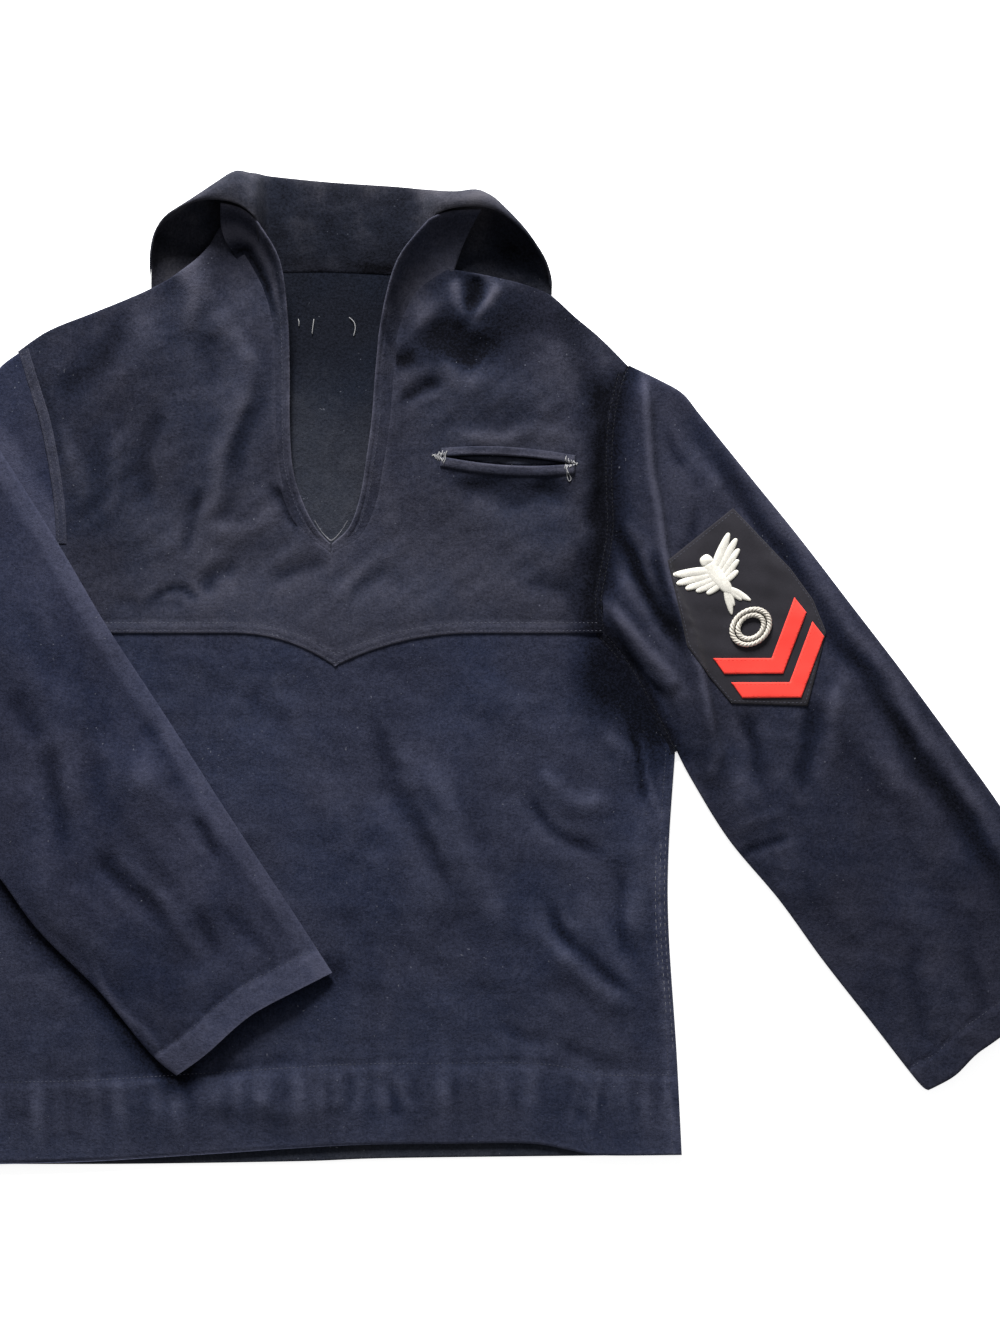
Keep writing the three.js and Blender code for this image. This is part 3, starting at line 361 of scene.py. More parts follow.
class JumperColours(bpy.types.PropertyGroup):
    """Colours of the cloths and threads."""

    wool: colour("Wool", "The navy wool", (0.0195, 0.0222, 0.0365))
    # The pale end of the navy wool, reached where the nap is rubbed and where painted light lies
    wear_and_painted_light: colour("Worn wool", "The wool where its nap is rubbed", (0.052, 0.054, 0.072))
    felt: colour("Badge ground", "The badge's dark felt", (0.021, 0.0195, 0.0255))
    red: colour("Red", "The chevrons' felt", (0.96, 0.061, 0.045))
    white: colour("White", "The embroidered swallow", (0.86, 0.83, 0.75))
    grey: colour("Grey", "The rope ring's cord", (0.64, 0.6, 0.53))
    thread: colour("Thread", "The sewing thread", (0.05, 0.053, 0.075))
    floor: colour("Floor", "The pale floor", (0.93, 0.93, 0.93))


# Curves and grids on the plan


def smooth(x):
    """0 below 0, 1 above 1, and an even slope between them."""
    x = np.clip(x, 0.0, 1.0)
    return x * x * (3.0 - 2.0 * x)


def bell(gap, width):
    """1 where the gap is 0, falling softly to 0 on both sides."""
    return np.exp(-((gap / width) ** 2))


def fade(gap, reach):
    """1 where the gap is 0, falling at once."""
    return np.exp(-gap / reach)


def lerp(a, b, share):
    """The value at a share of the way from a to b."""
    return a + (b - a) * share


def left_of(line):
    """The direction to the left of a line on the plan, at each of its points."""
    ahead = np.gradient(line, axis=0)
    ahead /= np.maximum(np.linalg.norm(ahead, axis=1, keepdims=True), 1e-9)
    return np.column_stack([-ahead[:, 1], ahead[:, 0]])


def spline(rows, per_span=24):
    """Dense points on the smooth curve through the rows."""
    p = np.array(rows, float)
    last = len(p) - 1
    t = np.linspace(0, last, last * per_span + 1)
    i = np.minimum(t.astype(int), last - 1)
    w = (t - i).reshape((-1,) + (1,) * (p.ndim - 1))
    here, after = p[i], p[i + 1]
    v0 = (after - p[np.maximum(i - 1, 0)]) / 2
    v1 = (p[np.minimum(i + 2, last)] - here) / 2
    return (2 * here - 2 * after + v0 + v1) * w**3 + (3 * after - 3 * here - 2 * v0 - v1) * w**2 + v0 * w + here


def joined(*lines):
    """Several curves as one line, with sharp corners where they meet."""
    return np.concatenate([spline(rows) for rows in lines])


def length_of(line):
    """Length of a line of points."""
    return float(np.linalg.norm(np.diff(line, axis=0), axis=1).sum())


def along(line, shares):
    """Points at shares of a line's length."""
    reach = np.concatenate([[0], np.cumsum(np.linalg.norm(np.diff(line, axis=0), axis=1))])
    at = np.asarray(shares) * reach[-1]
    return np.stack([np.interp(at, reach, line[:, k]) for k in range(line.shape[1])], axis=-1)


def by_x(rows, x):
    """Value at x of the curve through [x, value] rows."""
    line = spline(rows)
    return np.interp(x, line[:, 0], line[:, 1])


def coons(left, right, bottom, top, across, up):
    """The points inside four edges, as rows from the bottom edge to the top one."""
    return coons_with(along(left, up), along(right, up), bottom, top, across, up)


def coons_with(left, right, bottom, top, across, up):
    """As coons, with the points on the left and right edges given."""
    u, v = across[None, :, None], up[:, None, None]
    sides = left[:, None] * (1 - u) + right[:, None] * u
    ends = along(bottom, across)[None] * (1 - v) + along(top, across)[None] * v
    corners = (bottom[0] * (1 - u) + bottom[-1] * u) * (1 - v) + (top[0] * (1 - u) + top[-1] * u) * v
    return sides + ends - corners


FINE_STEPS = (0, 0.3, 0.9, 2.0, 4.0, 6.5)


def stops(length, step, start=True, end=True):
    """Shares along a length, close together at the ends that have an edge."""
    first = np.array(FINE_STEPS if start else (0,))
    last = length - np.array(FINE_STEPS if end else (0,))[::-1]
    count = max(2, int(round((last[0] - first[-1]) / step)))
    return np.concatenate([first[:-1], np.linspace(first[-1], last[0], count), last[1:]]) / length


def nearest(plan, line, count=110):
    """Distance of plan points from a line, and how far along it the nearest point is, in millimetres."""
    line = along(line, np.linspace(0, 1, count))
    best = np.full(plan.shape[:-1], 1e9)
    place = np.zeros(plan.shape[:-1])
    start = 0.0
    for a, b in zip(line[:-1], line[1:]):
        ab = b - a
        size = float(np.hypot(*ab))
        t = np.clip(((plan - a) @ ab) / max(size * size, 1e-9), 0, 1)
        gap = np.linalg.norm(plan - (a + t[..., None] * ab), axis=-1)
        closer = gap < best
        place = np.where(closer, start + t * size, place)
        best = np.where(closer, gap, best)
        start += size
    return best, place


def relief(folds, x, y):
    """Height of a table of folds. Their lines wander a little and their height comes and goes, as cloth's do."""
    total = np.zeros(np.shape(x))
    aside = sum(far * ripple(x, y, size, seed) for far, size, seed in WANDER)
    up = sum(far * ripple(x, y, size, seed + 1) for far, size, seed in WANDER)
    x, y = x + aside, y + up
    for row in folds:
        f = dict(zip(FOLD_COLUMNS, row))
        dx, dy = f["x1"] - f["x0"], f["y1"] - f["y0"]
        size = math.hypot(dx, dy)
        share = ((x - f["x0"]) * dx + (y - f["y0"]) * dy) / size**2
        side = ((y - f["y0"]) * dx - (x - f["x0"]) * dy) / size - 4 * f["bow"] * share * (1 - share)
        ends = smooth(share / 0.3) * smooth((1 - share) / 0.3)
        total = total + f["height"] * bell(side, np.where(side > 0, f["lean"], f["slope"])) * ends
    amount, size, seed = FULLNESS
    return total * (1 + amount * ripple(x, y, size, seed))


def beside_ridge(x, y):
    """Distance from the crest beside the armhole, positive outside it."""
    line = spline(SLEEVE_RIDGE)
    return x - np.interp(-y, -line[:, 1], line[:, 0])


def sleeve_ridge(x, y):
    """Height of the crest beside the armhole."""
    side = beside_ridge(x, y)
    ends = smooth((SLEEVE_RIDGE[0][1] - y) / 24) * smooth((y - SLEEVE_RIDGE[-1][1]) / 60)
    return RIDGE["height"] * bell(side, np.where(side > 0, RIDGE["outside"], RIDGE["inside"])) * ends


def tuck(x, y):
    """Share of the tuck's height: 1 on it, 0 beside it."""
    flat = np.stack([np.ravel(x), np.ravel(y)], axis=-1)
    outline = np.array(TUCK + TUCK[:1], float)
    gap = nearest(flat, outline)[0] * np.where(inside_outline(flat, np.array(TUCK, float)), 1, -1)
    return smooth((gap + 1.2) / 6.0).reshape(np.shape(x))


def ripple(x, y, size, seed, waves=7):
    """Even random waviness, mostly between -1 and 1, with waves of about this size."""
    rng = np.random.default_rng(seed)
    total = np.zeros(np.shape(x))
    for _ in range(waves):
        angle, phase, scale = rng.uniform(0, 2 * np.pi), rng.uniform(0, 2 * np.pi), rng.uniform(0.6, 1.6)
        total = total + np.sin((x * np.cos(angle) + y * np.sin(angle)) * 2 * np.pi / (size * scale) + phase)
    return total / math.sqrt(waves) / 1.2


def pucker(gap, place, seed, wave=13, reach=9):
    """Small gathers that a row of stitches draws into the cloth beside it."""
    rng = np.random.default_rng(seed)
    total = np.zeros(np.shape(gap))
    for scale in (0.7, 1.0, 1.55, 2.3):
        total = total + np.sin(place * 2 * np.pi / (wave * scale) + rng.uniform(0, 6.3))
    return total / 2.4 * np.exp(-np.abs(gap) / reach)


# Levels of the cloth


def yoke_edge(x):
    """Height on the plan of the yoke's pointed lower edge."""
    reach = np.where(x < YOKE["x"], YOKE["left"], YOKE["right"])
    return YOKE["level"] - YOKE["drop"] * np.maximum(0, 1 - np.abs(x - YOKE["x"]) / reach) ** 2.2


def lift(x, y):
    """How far the collar's flap under it lifts the back."""
    beside = np.maximum(np.maximum(FLAP["left"] - x, x - FLAP["right"]), 0) / FLAP["ramp"]
    below = np.maximum(FLAP["bottom"] - y, 0) / FLAP["ramp"]
    return (CLOTH + SEAM) * (1 - smooth(beside)) * (1 - smooth(below))


def puff(x, y):
    """How far the front stands off the back between the seams."""
    from_side = smooth((BODY_HALF_WIDTH - np.abs(x)) / 60)
    from_hem = smooth((y + 370) / 50)
    shoulder = 285 - 0.5 * np.maximum(0, np.abs(x) - 139)
    return BODY_PUFF * from_side * from_hem * smooth((shoulder - y) / 50)


def back_top(x, y):
    """Level of the back's upper side."""
    return lift(x, y) + CLOTH


def front_under(x, y):
    """Level of the front's under side, folds left out."""
    return back_top(x, y) + SEAM + puff(x, y)


def yoke_step(x, y):
    """How far the front's edge under the yoke lifts the yoke."""
    return (CLOTH + SEAM) * (1 - smooth((y - yoke_edge(x) - 14) / 46))


def body_top(x, y):
    """Level of the body's upper side, folds left out."""
    below = (CLOTH + SEAM) * (1 - smooth((yoke_edge(x) - y) / 50))
    return front_under(x, y) + CLOTH + np.where(y > yoke_edge(x), yoke_step(x, y), below)


# Meshes


def rounded(gap, radius=1.3):
    """Share of the full thickness at a distance from an edge, for an edge that is rounded over."""
    return np.sqrt(np.maximum(1 - (1 - np.clip(gap / radius, 0, 1)) ** 2, 0.02))


def mesh_object(name, points, faces, material):
    """A shown object from points in millimetres."""
    mesh = bpy.data.meshes.new(name)
    mesh.from_pydata((np.asarray(points) * MM).tolist(), [], faces)
    mesh.validate()
    mesh.shade_smooth()
    mesh.materials.append(material)
    made = bpy.data.objects.new(name, mesh)
    bpy.context.scene.collection.objects.link(made)
    return made


def closed(faces, offset):
    """The faces, the same ones on the other side, and a strip that joins their open edges."""
    edges = {(a, b) for face in faces for a, b in zip(face, face[1:] + face[:1])}
    whole = faces + [[offset + v for v in reversed(face)] for face in faces]
    return whole + [[b, a, offset + a, offset + b] for a, b in edges if (b, a) not in edges]


def shell(name, patches, material, drop=None):
    """A closed wall from patches of two facing grids. Patches that share an edge are joined."""
    outer = np.concatenate([o.reshape(-1, 3) for o, _ in patches])
    inner = np.concatenate([i.reshape(-1, 3) for _, i in patches])
    _, first, index = np.unique(np.round(outer, 3), axis=0, return_index=True, return_inverse=True)
    index = index.reshape(-1)
    quads, start = [], 0
    for grid, _ in patches:
        rows, columns = grid.shape[:2]
        ids = index[start : start + rows * columns].reshape(rows, columns)
        quads.append(np.stack([ids[:-1, :-1], ids[:-1, 1:], ids[1:, 1:], ids[1:, :-1]], axis=-1).reshape(-1, 4))
        start += rows * columns
    quads = np.concatenate(quads)
    outer, inner = outer[first], inner[first]
    if drop is not None:
        quads = quads[~drop(outer[quads].mean(axis=1))]
    faces = []
    for quad in quads.tolist():
        face = [v for k, v in enumerate(quad) if v != quad[k - 1]]
        if len(face) > 2:
            faces.append(face)
    whole = closed(faces, len(outer))
    points = np.concatenate([outer, inner])
    p, q, r = (points[[face[corner] for face in whole]] for corner in range(3))
    if np.einsum("ij,ij->i", p, np.cross(q, r)).sum() < 0:
        whole = [face[::-1] for face in whole]
    used = np.unique(np.concatenate([np.array(face) for face in whole]))
    renumber = np.full(len(points), -1)
    renumber[used] = np.arange(len(used))
    return mesh_object(name, points[used], [[int(renumber[v]) for v in face] for face in whole], material)


def wall(plan, under, cloth, edge):
    """The two faces of a wall of cloth that lies on the plan, rounded at its edge."""
    half = cloth / 2 * rounded(edge)
    middle = under + cloth / 2
    return np.dstack([plan, middle + half]), np.dstack([plan, middle - half])


def surface_of(*names):
    """A function that gives the height of the highest surface of these pieces over a plan point, in millimetres."""
    trees = []
    for name in names:
        mesh = bpy.data.objects[name].data
        trees.append(BVHTree.FromPolygons([v.co for v in mesh.vertices], [p.vertices for p in mesh.polygons]))

    def height(x, y, missing=None):
        hits = [tree.ray_cast(Vector((x * MM, y * MM, 0.1)), Vector((0, 0, -1)))[0] for tree in trees]
        return max([hit.z / MM for hit in hits if hit is not None], default=missing)

    return height


def settle(piece, replaced=()):
    """The piece moves with the jumper, stands for its solids and takes its finish from the slot."""
    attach(piece, BODY)
    if replaced:
        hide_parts(*replaced)
    return piece


# Shaders


class Value:
    """A number in a shader that takes part in ordinary arithmetic."""

    def __init__(self, shader, socket):
        self.shader = shader
        self.socket = socket

    def maths(self, operation, *values):
        node = self.shader.node("ShaderNodeMath", {"operation": operation}, dict(enumerate(values)))
        return Value(self.shader, node.outputs[0])

    def __add__(self, other):
        return self.maths("ADD", self, other)

    __radd__ = __add__

    def __mul__(self, other):
        return self.maths("MULTIPLY", self, other)

    __rmul__ = __mul__

    def __sub__(self, other):
        return self.maths("SUBTRACT", self, other)

    def __rsub__(self, other):
        return self.maths("SUBTRACT", other, self)

    def clamp(self):
        return self.maths("MAXIMUM", self.maths("MINIMUM", self, 1.0), 0.0)

    def above(self, low, high):
        """0 below low, 1 above high."""
        settings = {"interpolation_type": "SMOOTHSTEP"}
        node = self.shader.node("ShaderNodeMapRange", settings, {"Value": self, "From Min": low, "From Max": high})
        return Value(self.shader, node.outputs[0])


class Shader:
    """A material under construction."""

    def __init__(self, name):
        self.material = bpy.data.materials.new(name)
        self.material.use_nodes = True
        self.tree = self.material.node_tree
        self.tree.nodes.clear()
        self.place = self.node("ShaderNodeTexCoord").outputs["Object"]

    def node(self, kind, settings=None, inputs=None):
        node = self.tree.nodes.new(kind)
        for name, value in (settings or {}).items():
            setattr(node, name, value)
        for name, value in (inputs or {}).items():
            self.feed(node.inputs[name], value)
        return node

    def feed(self, socket, value):
        if isinstance(value, Value):
            value = value.socket
        if isinstance(value, bpy.types.NodeSocket):
            self.tree.links.new(value, socket)
        else:
            socket.default_value = value

    def noise(self, scale, detail=2.0, roughness=0.5, vector=None):
        inputs = {"Vector": vector or self.place, "Scale": scale, "Detail": detail, "Roughness": roughness}
        return Value(self, self.node("ShaderNodeTexNoise", None, inputs).outputs[0])

    def stretched(self, factors, turn=0.0):
        """The object's coordinates, turned about Z and scaled along each axis."""
        settings = {"vector_type": "POINT"}
        inputs = {"Vector": self.place, "Rotation": (0, 0, turn), "Scale": factors}
        return self.node("ShaderNodeMapping", settings, inputs).outputs[0]

    def attribute(self, name):
        return Value(self, self.node("ShaderNodeAttribute", {"attribute_name": name}).outputs["Fac"])

    def mix(self, share, a, b):
        """A colour between a and b."""
        node = self.node("ShaderNodeMix", {"data_type": "RGBA"}, {0: share, 6: a, 7: b})
        return node.outputs[2]

    def bump(self, height, strength, distance):
        inputs = {"Height": height, "Strength": strength, "Distance": distance}
        return self.node("ShaderNodeBump", None, inputs).outputs[0]

    def finish(self, **inputs):
        """Ends the material in a Principled BSDF with these inputs, their names written with _ for a space."""
        named = {name.replace("_", " "): value for name, value in inputs.items()}
        surface = self.node("ShaderNodeBsdfPrincipled", None, named)
        output = self.node("ShaderNodeOutputMaterial")
        self.tree.links.new(surface.outputs[0], output.inputs[0])
        return self.material


def opaque(rgb):
    """A colour with full alpha, as the shader's nodes want it."""
    return (*rgb, 1.0)


def wool_material(name, base, wear_and_painted_light, seed=0.0):
    """Fulled wool with a short nap: cloudy tone, rubbed patches, a matted fuzz and a few pale specks of lint."""
    s = Shader(name)
    away = (seed, seed * 0.7, seed * 1.3)
    place = s.node("ShaderNodeVectorMath", {"operation": "ADD"}, {0: s.place, 1: away}).outputs[0]
    clouds = s.noise(9.0, 3.0, 0.55, place)
    patches = s.noise(31.0, 4.0, 0.6, place)
    tufts = s.noise(140.0, 4.0, 0.62, place)
    fuzz = s.noise(520.0, 4.0, 0.7, place)
    nap = s.noise(1900.0, 2.0, 0.6, place)
    streaks = s.noise(1.0, 3.0, 0.6, s.stretched((1400.0, 240.0, 800.0), 0.35))
    wear = s.attribute("wear")
    tone = clouds.above(0.3, 0.7) * 0.22 + patches.above(0.32, 0.72) * 0.22
    tone = tone + tufts.above(0.34, 0.72) * 0.28 + streaks.above(0.3, 0.75) * 0.28
    cool = [c * f for c, f in zip(base, (0.9, 1.01, 1.12))]
    ground = s.mix(s.noise(14.0, 2.0, 0.5, place).above(0.36, 0.64), opaque(base), opaque(cool))
    # Paler with rubbed nap and with painted light, from the stored value
    pale = (tone * 0.66 - 0.02 + wear * 0.8).clamp()
    lit = s.mix(pale, ground, opaque(wear_and_painted_light))
    # Darker with matted fuzz and with painted shade: a negative stored value darkens creases and hollows
    matted_and_shaded = ((1.0 - fuzz.above(0.28, 0.66)) * 0.37 + (1.0 - tone) * 0.2 + 0.12 - wear * 0.6).clamp()
    cloth = s.mix(matted_and_shaded, lit, opaque([c * 0.09 for c in base]))
    specks = s.noise(430.0, 1.0, 0.4, place).above(0.75, 0.79) * s.noise(21.0, 1.0, 0.5, place).above(0.48, 0.6)
    finished = s.mix(specks * 0.28, cloth, (0.22, 0.23, 0.27, 1.0))
    height = fuzz * 0.6 + nap * 0.2 + tufts * 0.8
    return s.finish(
        Base_Color=finished,
        Roughness=0.94,
        Specular_IOR_Level=0.02,
        Sheen_Weight=0.02,
        Sheen_Roughness=0.6,
        Sheen_Tint=(0.72, 0.78, 1.0, 1.0),
        Normal=s.bump(height, 0.65, 0.0013),
    )


def felt_material(name, base, dark_share=0.55, wear_colour=(0.9, 0.2, 0.13)):
    """Dense felt: short matted fibres with a slight unevenness of colour."""
    s = Shader(name)
    mottle = s.noise(70.0, 4.0, 0.6)
    fibre = s.noise(1300.0, 3.0, 0.7)
    shade = (fibre.above(0.25, 0.65) * 0.55 + mottle.above(0.3, 0.75) * 0.45).clamp()
    tone = s.mix(shade, opaque([c * dark_share for c in base]), opaque(base))
    tone = s.mix(s.noise(160.0, 3.0, 0.6).above(0.62, 0.8) * 0.25, tone, opaque(wear_colour))
    return s.finish(
        Base_Color=tone,
        Roughness=0.92,
        Specular_IOR_Level=0.2,
        Sheen_Weight=0.08,
        Normal=s.bump(fibre * 0.7 + mottle * 0.3, 0.45, 0.0005),
    )


def thread_material(name, base, shine=0.45):
    """Twisted thread: fine diagonal strands with a soft lustre."""
    s = Shader(name)
    strand = s.noise(1.0, 2.0, 0.5, s.stretched((2600.0, 700.0, 2600.0), 0.6))
    grime = s.noise(55.0, 3.0, 0.6)
    shade = (strand.above(0.3, 0.7) * 0.6 + grime.above(0.3, 0.7) * 0.4).clamp()
    tone = s.mix(shade, opaque([c * 0.62 for c in base]), opaque(base))
    return s.finish(
        Base_Color=tone,
        Roughness=(1.0 - shine) - strand * 0.1,
        Specular_IOR_Level=0.35,
        Normal=s.bump(strand, 0.5, 0.0004),
    )


def material(name):
    """One of the jumper's materials, made when it is first asked for."""
    if name in bpy.data.materials:
        return bpy.data.materials[name]
    c = bpy.context.scene.jumper_colours
    makers = {
        "badge_felt": lambda: felt_material(name, c.felt, 0.6, (0.05, 0.05, 0.06)),
        "red_felt": lambda: felt_material(name, c.red, 0.86, (0.9, 0.1, 0.07)),
        "white_silk": lambda: thread_material(name, c.white, 0.5),
        "grey_cord": lambda: thread_material(name, c.grey, 0.4),
        "sewing_thread": lambda: thread_material(name, c.thread, 0.3),
        "pale_thread": lambda: thread_material(name, (0.38, 0.38, 0.39), 0.3),
        "dark_thread": lambda: thread_material(name, (0.008, 0.009, 0.013), 0.3),
        "worn_edge": lambda: thread_material(name, (0.16, 0.16, 0.18), 0.15),
    }
    return makers[name]()


def wool(piece):
    """The navy wool as it has faded on one piece."""
    name = f"navy_wool_{piece}"
    if name in bpy.data.materials:
        return bpy.data.materials[name]
    colours = bpy.context.scene.jumper_colours
    shades = [[a * b for a, b in zip(tone, WOOL_TONES[piece])] for tone in (colours.wool, colours.wear_and_painted_light)]
    return wool_material(name, *shades, seed=float(list(WOOL_TONES).index(piece)))


def store_painted_light_and_wear(piece, values):
    """Stores how worn each point of a piece is: 1 where its nap is rubbed off, -1 in a deep crease."""
    wear_and_painted_light = piece.data.attributes.new("wear", "FLOAT", "POINT")
    wear_and_painted_light.data.foreach_set("value", np.clip(values, -1, 1).astype(np.float32))


def crest_wear_and_trough_shade(x, y, *tables):
    """Wear from how far the cloth stands out from the cloth beside it: crests are pale and troughs are dark."""

    def stand(x, y):
        return sum(relief(table, x, y) for table in tables)

    total = 0
    for reach, weight in ((5.0, 0.22), (14.0, 0.16)):
        steps = ((reach, 0), (-reach, 0), (0, reach), (0, -reach))
        total = total + weight * (stand(x, y) - sum(stand(x + dx, y + dy) for dx, dy in steps) / 4)
    return total


def painted_light_spots(rows, x, y):
    """The wear of a table of soft spots on the plan."""
    return sum(
        amount * np.exp(-(((x - cx) / wide) ** 2) - ((y - cy) / high) ** 2) for cx, cy, wide, high, amount in rows
    )


def points_of(piece):
    """The piece's points, in millimetres."""
    co = np.zeros(len(piece.data.vertices) * 3)
    piece.data.vertices.foreach_get("co", co)
    return co.reshape(-1, 3) / MM


def plan_of(piece):
    """The piece's points on the plan, as rows, and their x and y."""
    flat = points_of(piece)[:, :2]
    return flat, flat[:, 0], flat[:, 1]


# The body


def body_relief(x, y, folds, creases, seed):
    """Large folds, small creases and a faint all-over waviness."""
    waviness = 0.6 * ripple(x, y, 62, seed) + 0.32 * ripple(x, y, 24, seed + 1)
    return relief(folds, x, y) + relief(creases, x, y) + waviness


def make_back(sizes):
    """The back: one panel that lies on the surface, lifted by the collar's flap under it."""
    cloth, step, hem_depth = sizes.cloth / MM, sizes.grid / MM * 1.5, sizes.hem / MM
    left = joined(SIDE_LEFT[::-1], UNDERARM_LEFT[::-1], ARMHOLE_LEFT[::-1])
    right = joined(SIDE_RIGHT[::-1], UNDERARM_RIGHT[::-1], ARMHOLE_RIGHT[::-1])
    top = joined(SHOULDER_LEFT[:5], [SHOULDER_LEFT[4]] + BACK_NECK, SHOULDER_RIGHT)
    bottom = spline(BACK_HEM)
    plan = coons(left, right, bottom, top, stops(CHEST, step), stops(length_of(left), step))
    x, y = plan[..., 0], plan[..., 1]
    hem_gap, hem_place = nearest(plan, bottom)
    edge = np.minimum.reduce([hem_gap] + [nearest(plan, line)[0] for line in (left, right, top)])
    waves = np.maximum(0, 0.3 * ripple(x, y, 48, 3)) * smooth(edge / 20) * smooth((y - 60) / 60)
    gathers = 0.25 * np.maximum(0, pucker(hem_gap - hem_depth, hem_place, 5)) * smooth(edge / 8)
    piece = shell("back_cloth", [wall(plan, lift(x, y) + waves + gathers, cloth, edge)], wool("back"))
    flat, x, y = plan_of(piece)
    # Pale at the hem's rubbed edge; painted light on the back seen in the neck, and painted shade darkening it towards
    # the top, under the collar
    wear_and_painted_light = 0.5 * fade(nearest(flat, bottom)[0], 3) + 0.28 * (y > 60) - 0.75 * smooth((y - 130) / 140)
    store_painted_light_and_wear(piece, wear_and_painted_light)
    settle(piece, ["back"])


# The front's finer sewing: the gathers' place above the hem's edge and the width of the side seam's band
HEM_WAVE = 44
SIDE_BAND = 8


def make_front(sizes):
    """The lower front: its upper edge lies under the yoke and its hem is turned up."""
    cloth, step, hem_depth = sizes.cloth / MM, sizes.grid / MM, sizes.hem / MM
    left = joined(SIDE_LEFT[::-1], UNDERARM_LEFT[::-1])
    right = joined(SIDE_RIGHT[::-1], UNDERARM_RIGHT[::-1])
    x = np.linspace(UNDERARM_LEFT[0][0], UNDERARM_RIGHT[0][0], 90)
    overlap = YOKE["overlap"] * smooth((x - x[0]) / 40) * smooth((x[-1] - x) / 40)
    top = np.stack([x, yoke_edge(x) + overlap], axis=-1)
    bottom = spline(FRONT_HEM)
    plan = coons(left, right, bottom, top, stops(CHEST, step), stops(length_of(left), step))
    x, y = plan[..., 0], plan[..., 1]
    left_gap, top_gap = nearest(plan, left)[0], nearest(plan, top)[0]
    hem_gap, hem_place = nearest(plan, bottom)
    side_gap, side_place = nearest(plan, right)
    inside = np.minimum(side_gap, left_gap)
    edge = np.minimum.reduce([inside, hem_gap, top_gap])
    below_yoke = yoke_edge(x) - y
    waves = body_relief(x, y, FRONT_FOLDS, FRONT_CREASES, 11) * smooth(below_yoke / 24) * smooth(edge / 30)
    gathers = (
        0.6 * pucker(hem_gap - hem_depth, hem_place, 13)
        + 0.7 * pucker(hem_gap - HEM_WAVE, hem_place, 16, 22, 16)
        + 0.35 * pucker(side_gap - SIDE_BAND, side_place, 14, 17, 7)
    )
    stitched = smooth((-y - 80) / 20)
    turned = 0.75 * smooth((hem_depth - hem_gap) / 1.6) + 0.6 * smooth((SIDE_BAND - side_gap) / 1.2) * stitched
    groove = -0.75 * bell(hem_gap - hem_depth, 1.3) - 0.45 * bell(side_gap - SIDE_BAND - 0.6, 1.2) * stitched
    raised = 1.1 * (1 - smooth(below_yoke / 45)) * smooth(inside / 30)
    under = front_under(x, y) + waves + raised + gathers * smooth(edge / 6)
    under = np.maximum(under, back_top(x, y) + CLEAR) - 0.3 * fade(inside, 3)
    outer, inner = wall(plan, under, cloth, edge)
    outer[..., 2] += (turned + groove) * rounded(edge)
    piece = shell("front_cloth", [(outer, inner)], wool("front"))
    flat, x, y = plan_of(piece)
    from_side = nearest(flat, right)[0]
    from_hem, along_hem = nearest(flat, bottom)
    rubbed_seam = 0.35 * bell(from_side - 7, 4) * smooth((-y - 70) / 30)
    wear_and_painted_light = 0.55 * fade(from_hem, 1.6) + 0.1 * smooth((hem_depth - from_hem) / 3) + 0.4 * fade(from_side, 2)
    # Crests pale and troughs dark with painted shade, and painted shade in the corner under the right sleeve
    wear_and_painted_light = wear_and_painted_light + crest_wear_and_trough_shade(x, y, FRONT_FOLDS, FRONT_CREASES) + painted_light_spots(FRONT_SHADE_SPOTS, x, y)
    # Painted shadow cast on the front by the folded left sleeve's lower edge and by its cuff
    wear_and_painted_light = wear_and_painted_light - bell(nearest(flat, spline(SLEEVE_L_UNDER))[0], 11)
    wear_and_painted_light = wear_and_painted_light - 0.5 * bell(nearest(flat, spline(SLEEVE_L_CUFF))[0], 12)
    # Rubbed nap along the side seam, and painted light and shade on the gathers above the hem
    wear_and_painted_light = wear_and_painted_light + rubbed_seam * (0.7 + 0.6 * ripple(x, y, 14, 15)) + 0.35 * pucker(from_hem - 40, along_hem, 16, 22, 16)
    store_painted_light_and_wear(piece, wear_and_painted_light)
    settle(piece, ["front"])


def on_plan(own, u, v):
    """Where a point of the pocket's or the badge's own frame lies on the plan."""
    c, s = math.cos(own["turn"]), math.sin(own["turn"])
    return own["x"] + u * c - v * s, own["y"] + u * s + v * c


def pocket_frame(x, y):
    """Plan points in the pocket's own frame: along the mouth and up from it."""
    dx, dy = x - POCKET["x"], y - POCKET["y"]
    c, s = math.cos(POCKET["turn"]), math.sin(POCKET["turn"])
    return dx * c + dy * s, dy * c - dx * s


def slit_half(u):
    """Half the opening of the pocket's mouth, at a place along it."""
    return POCKET["slit"] / 2 * np.maximum(0, 1 - (u / POCKET["half"]) ** 2)


def yoke_plan(step):
    """The yoke's two halves, joined on the centre line below the V."""
    point = [YOKE["x"], float(yoke_edge(np.array(YOKE["x"])))]
    up = stops(length_of(spline(ARMHOLE_LEFT)) * 1.35, step)
    across = stops(HALF_YOKE, step)
    halves = []
    for armhole, seam, shoulder in (
        (ARMHOLE_LEFT, NECK_SEAM_LEFT, YOKE_SHOULDER_LEFT),
        (ARMHOLE_RIGHT, NECK_SEAM_RIGHT, YOKE_SHOULDER_RIGHT),
    ):
        # both halves take the same shares of the centre line, so that their points meet there
        middle = np.concatenate([np.linspace(point, seam[0], 24), spline(seam)])
        centre = two_rates(middle, (seam[0][1] - point[1]) / length_of(middle), up)
        sides = [(armhole[-1][0], along(spline(armhole[::-1]), up)), (point[0], centre)]
        (x0, left), (x1, right) = sides if armhole is ARMHOLE_LEFT else sides[::-1]
        x = lerp(x0, x1, np.linspace(0, 1, 40))
        edge = np.stack([x, yoke_edge(x)], axis=-1)
        halves.append(coons_with(left, right, edge, spline(shoulder), across, up))
    return halves


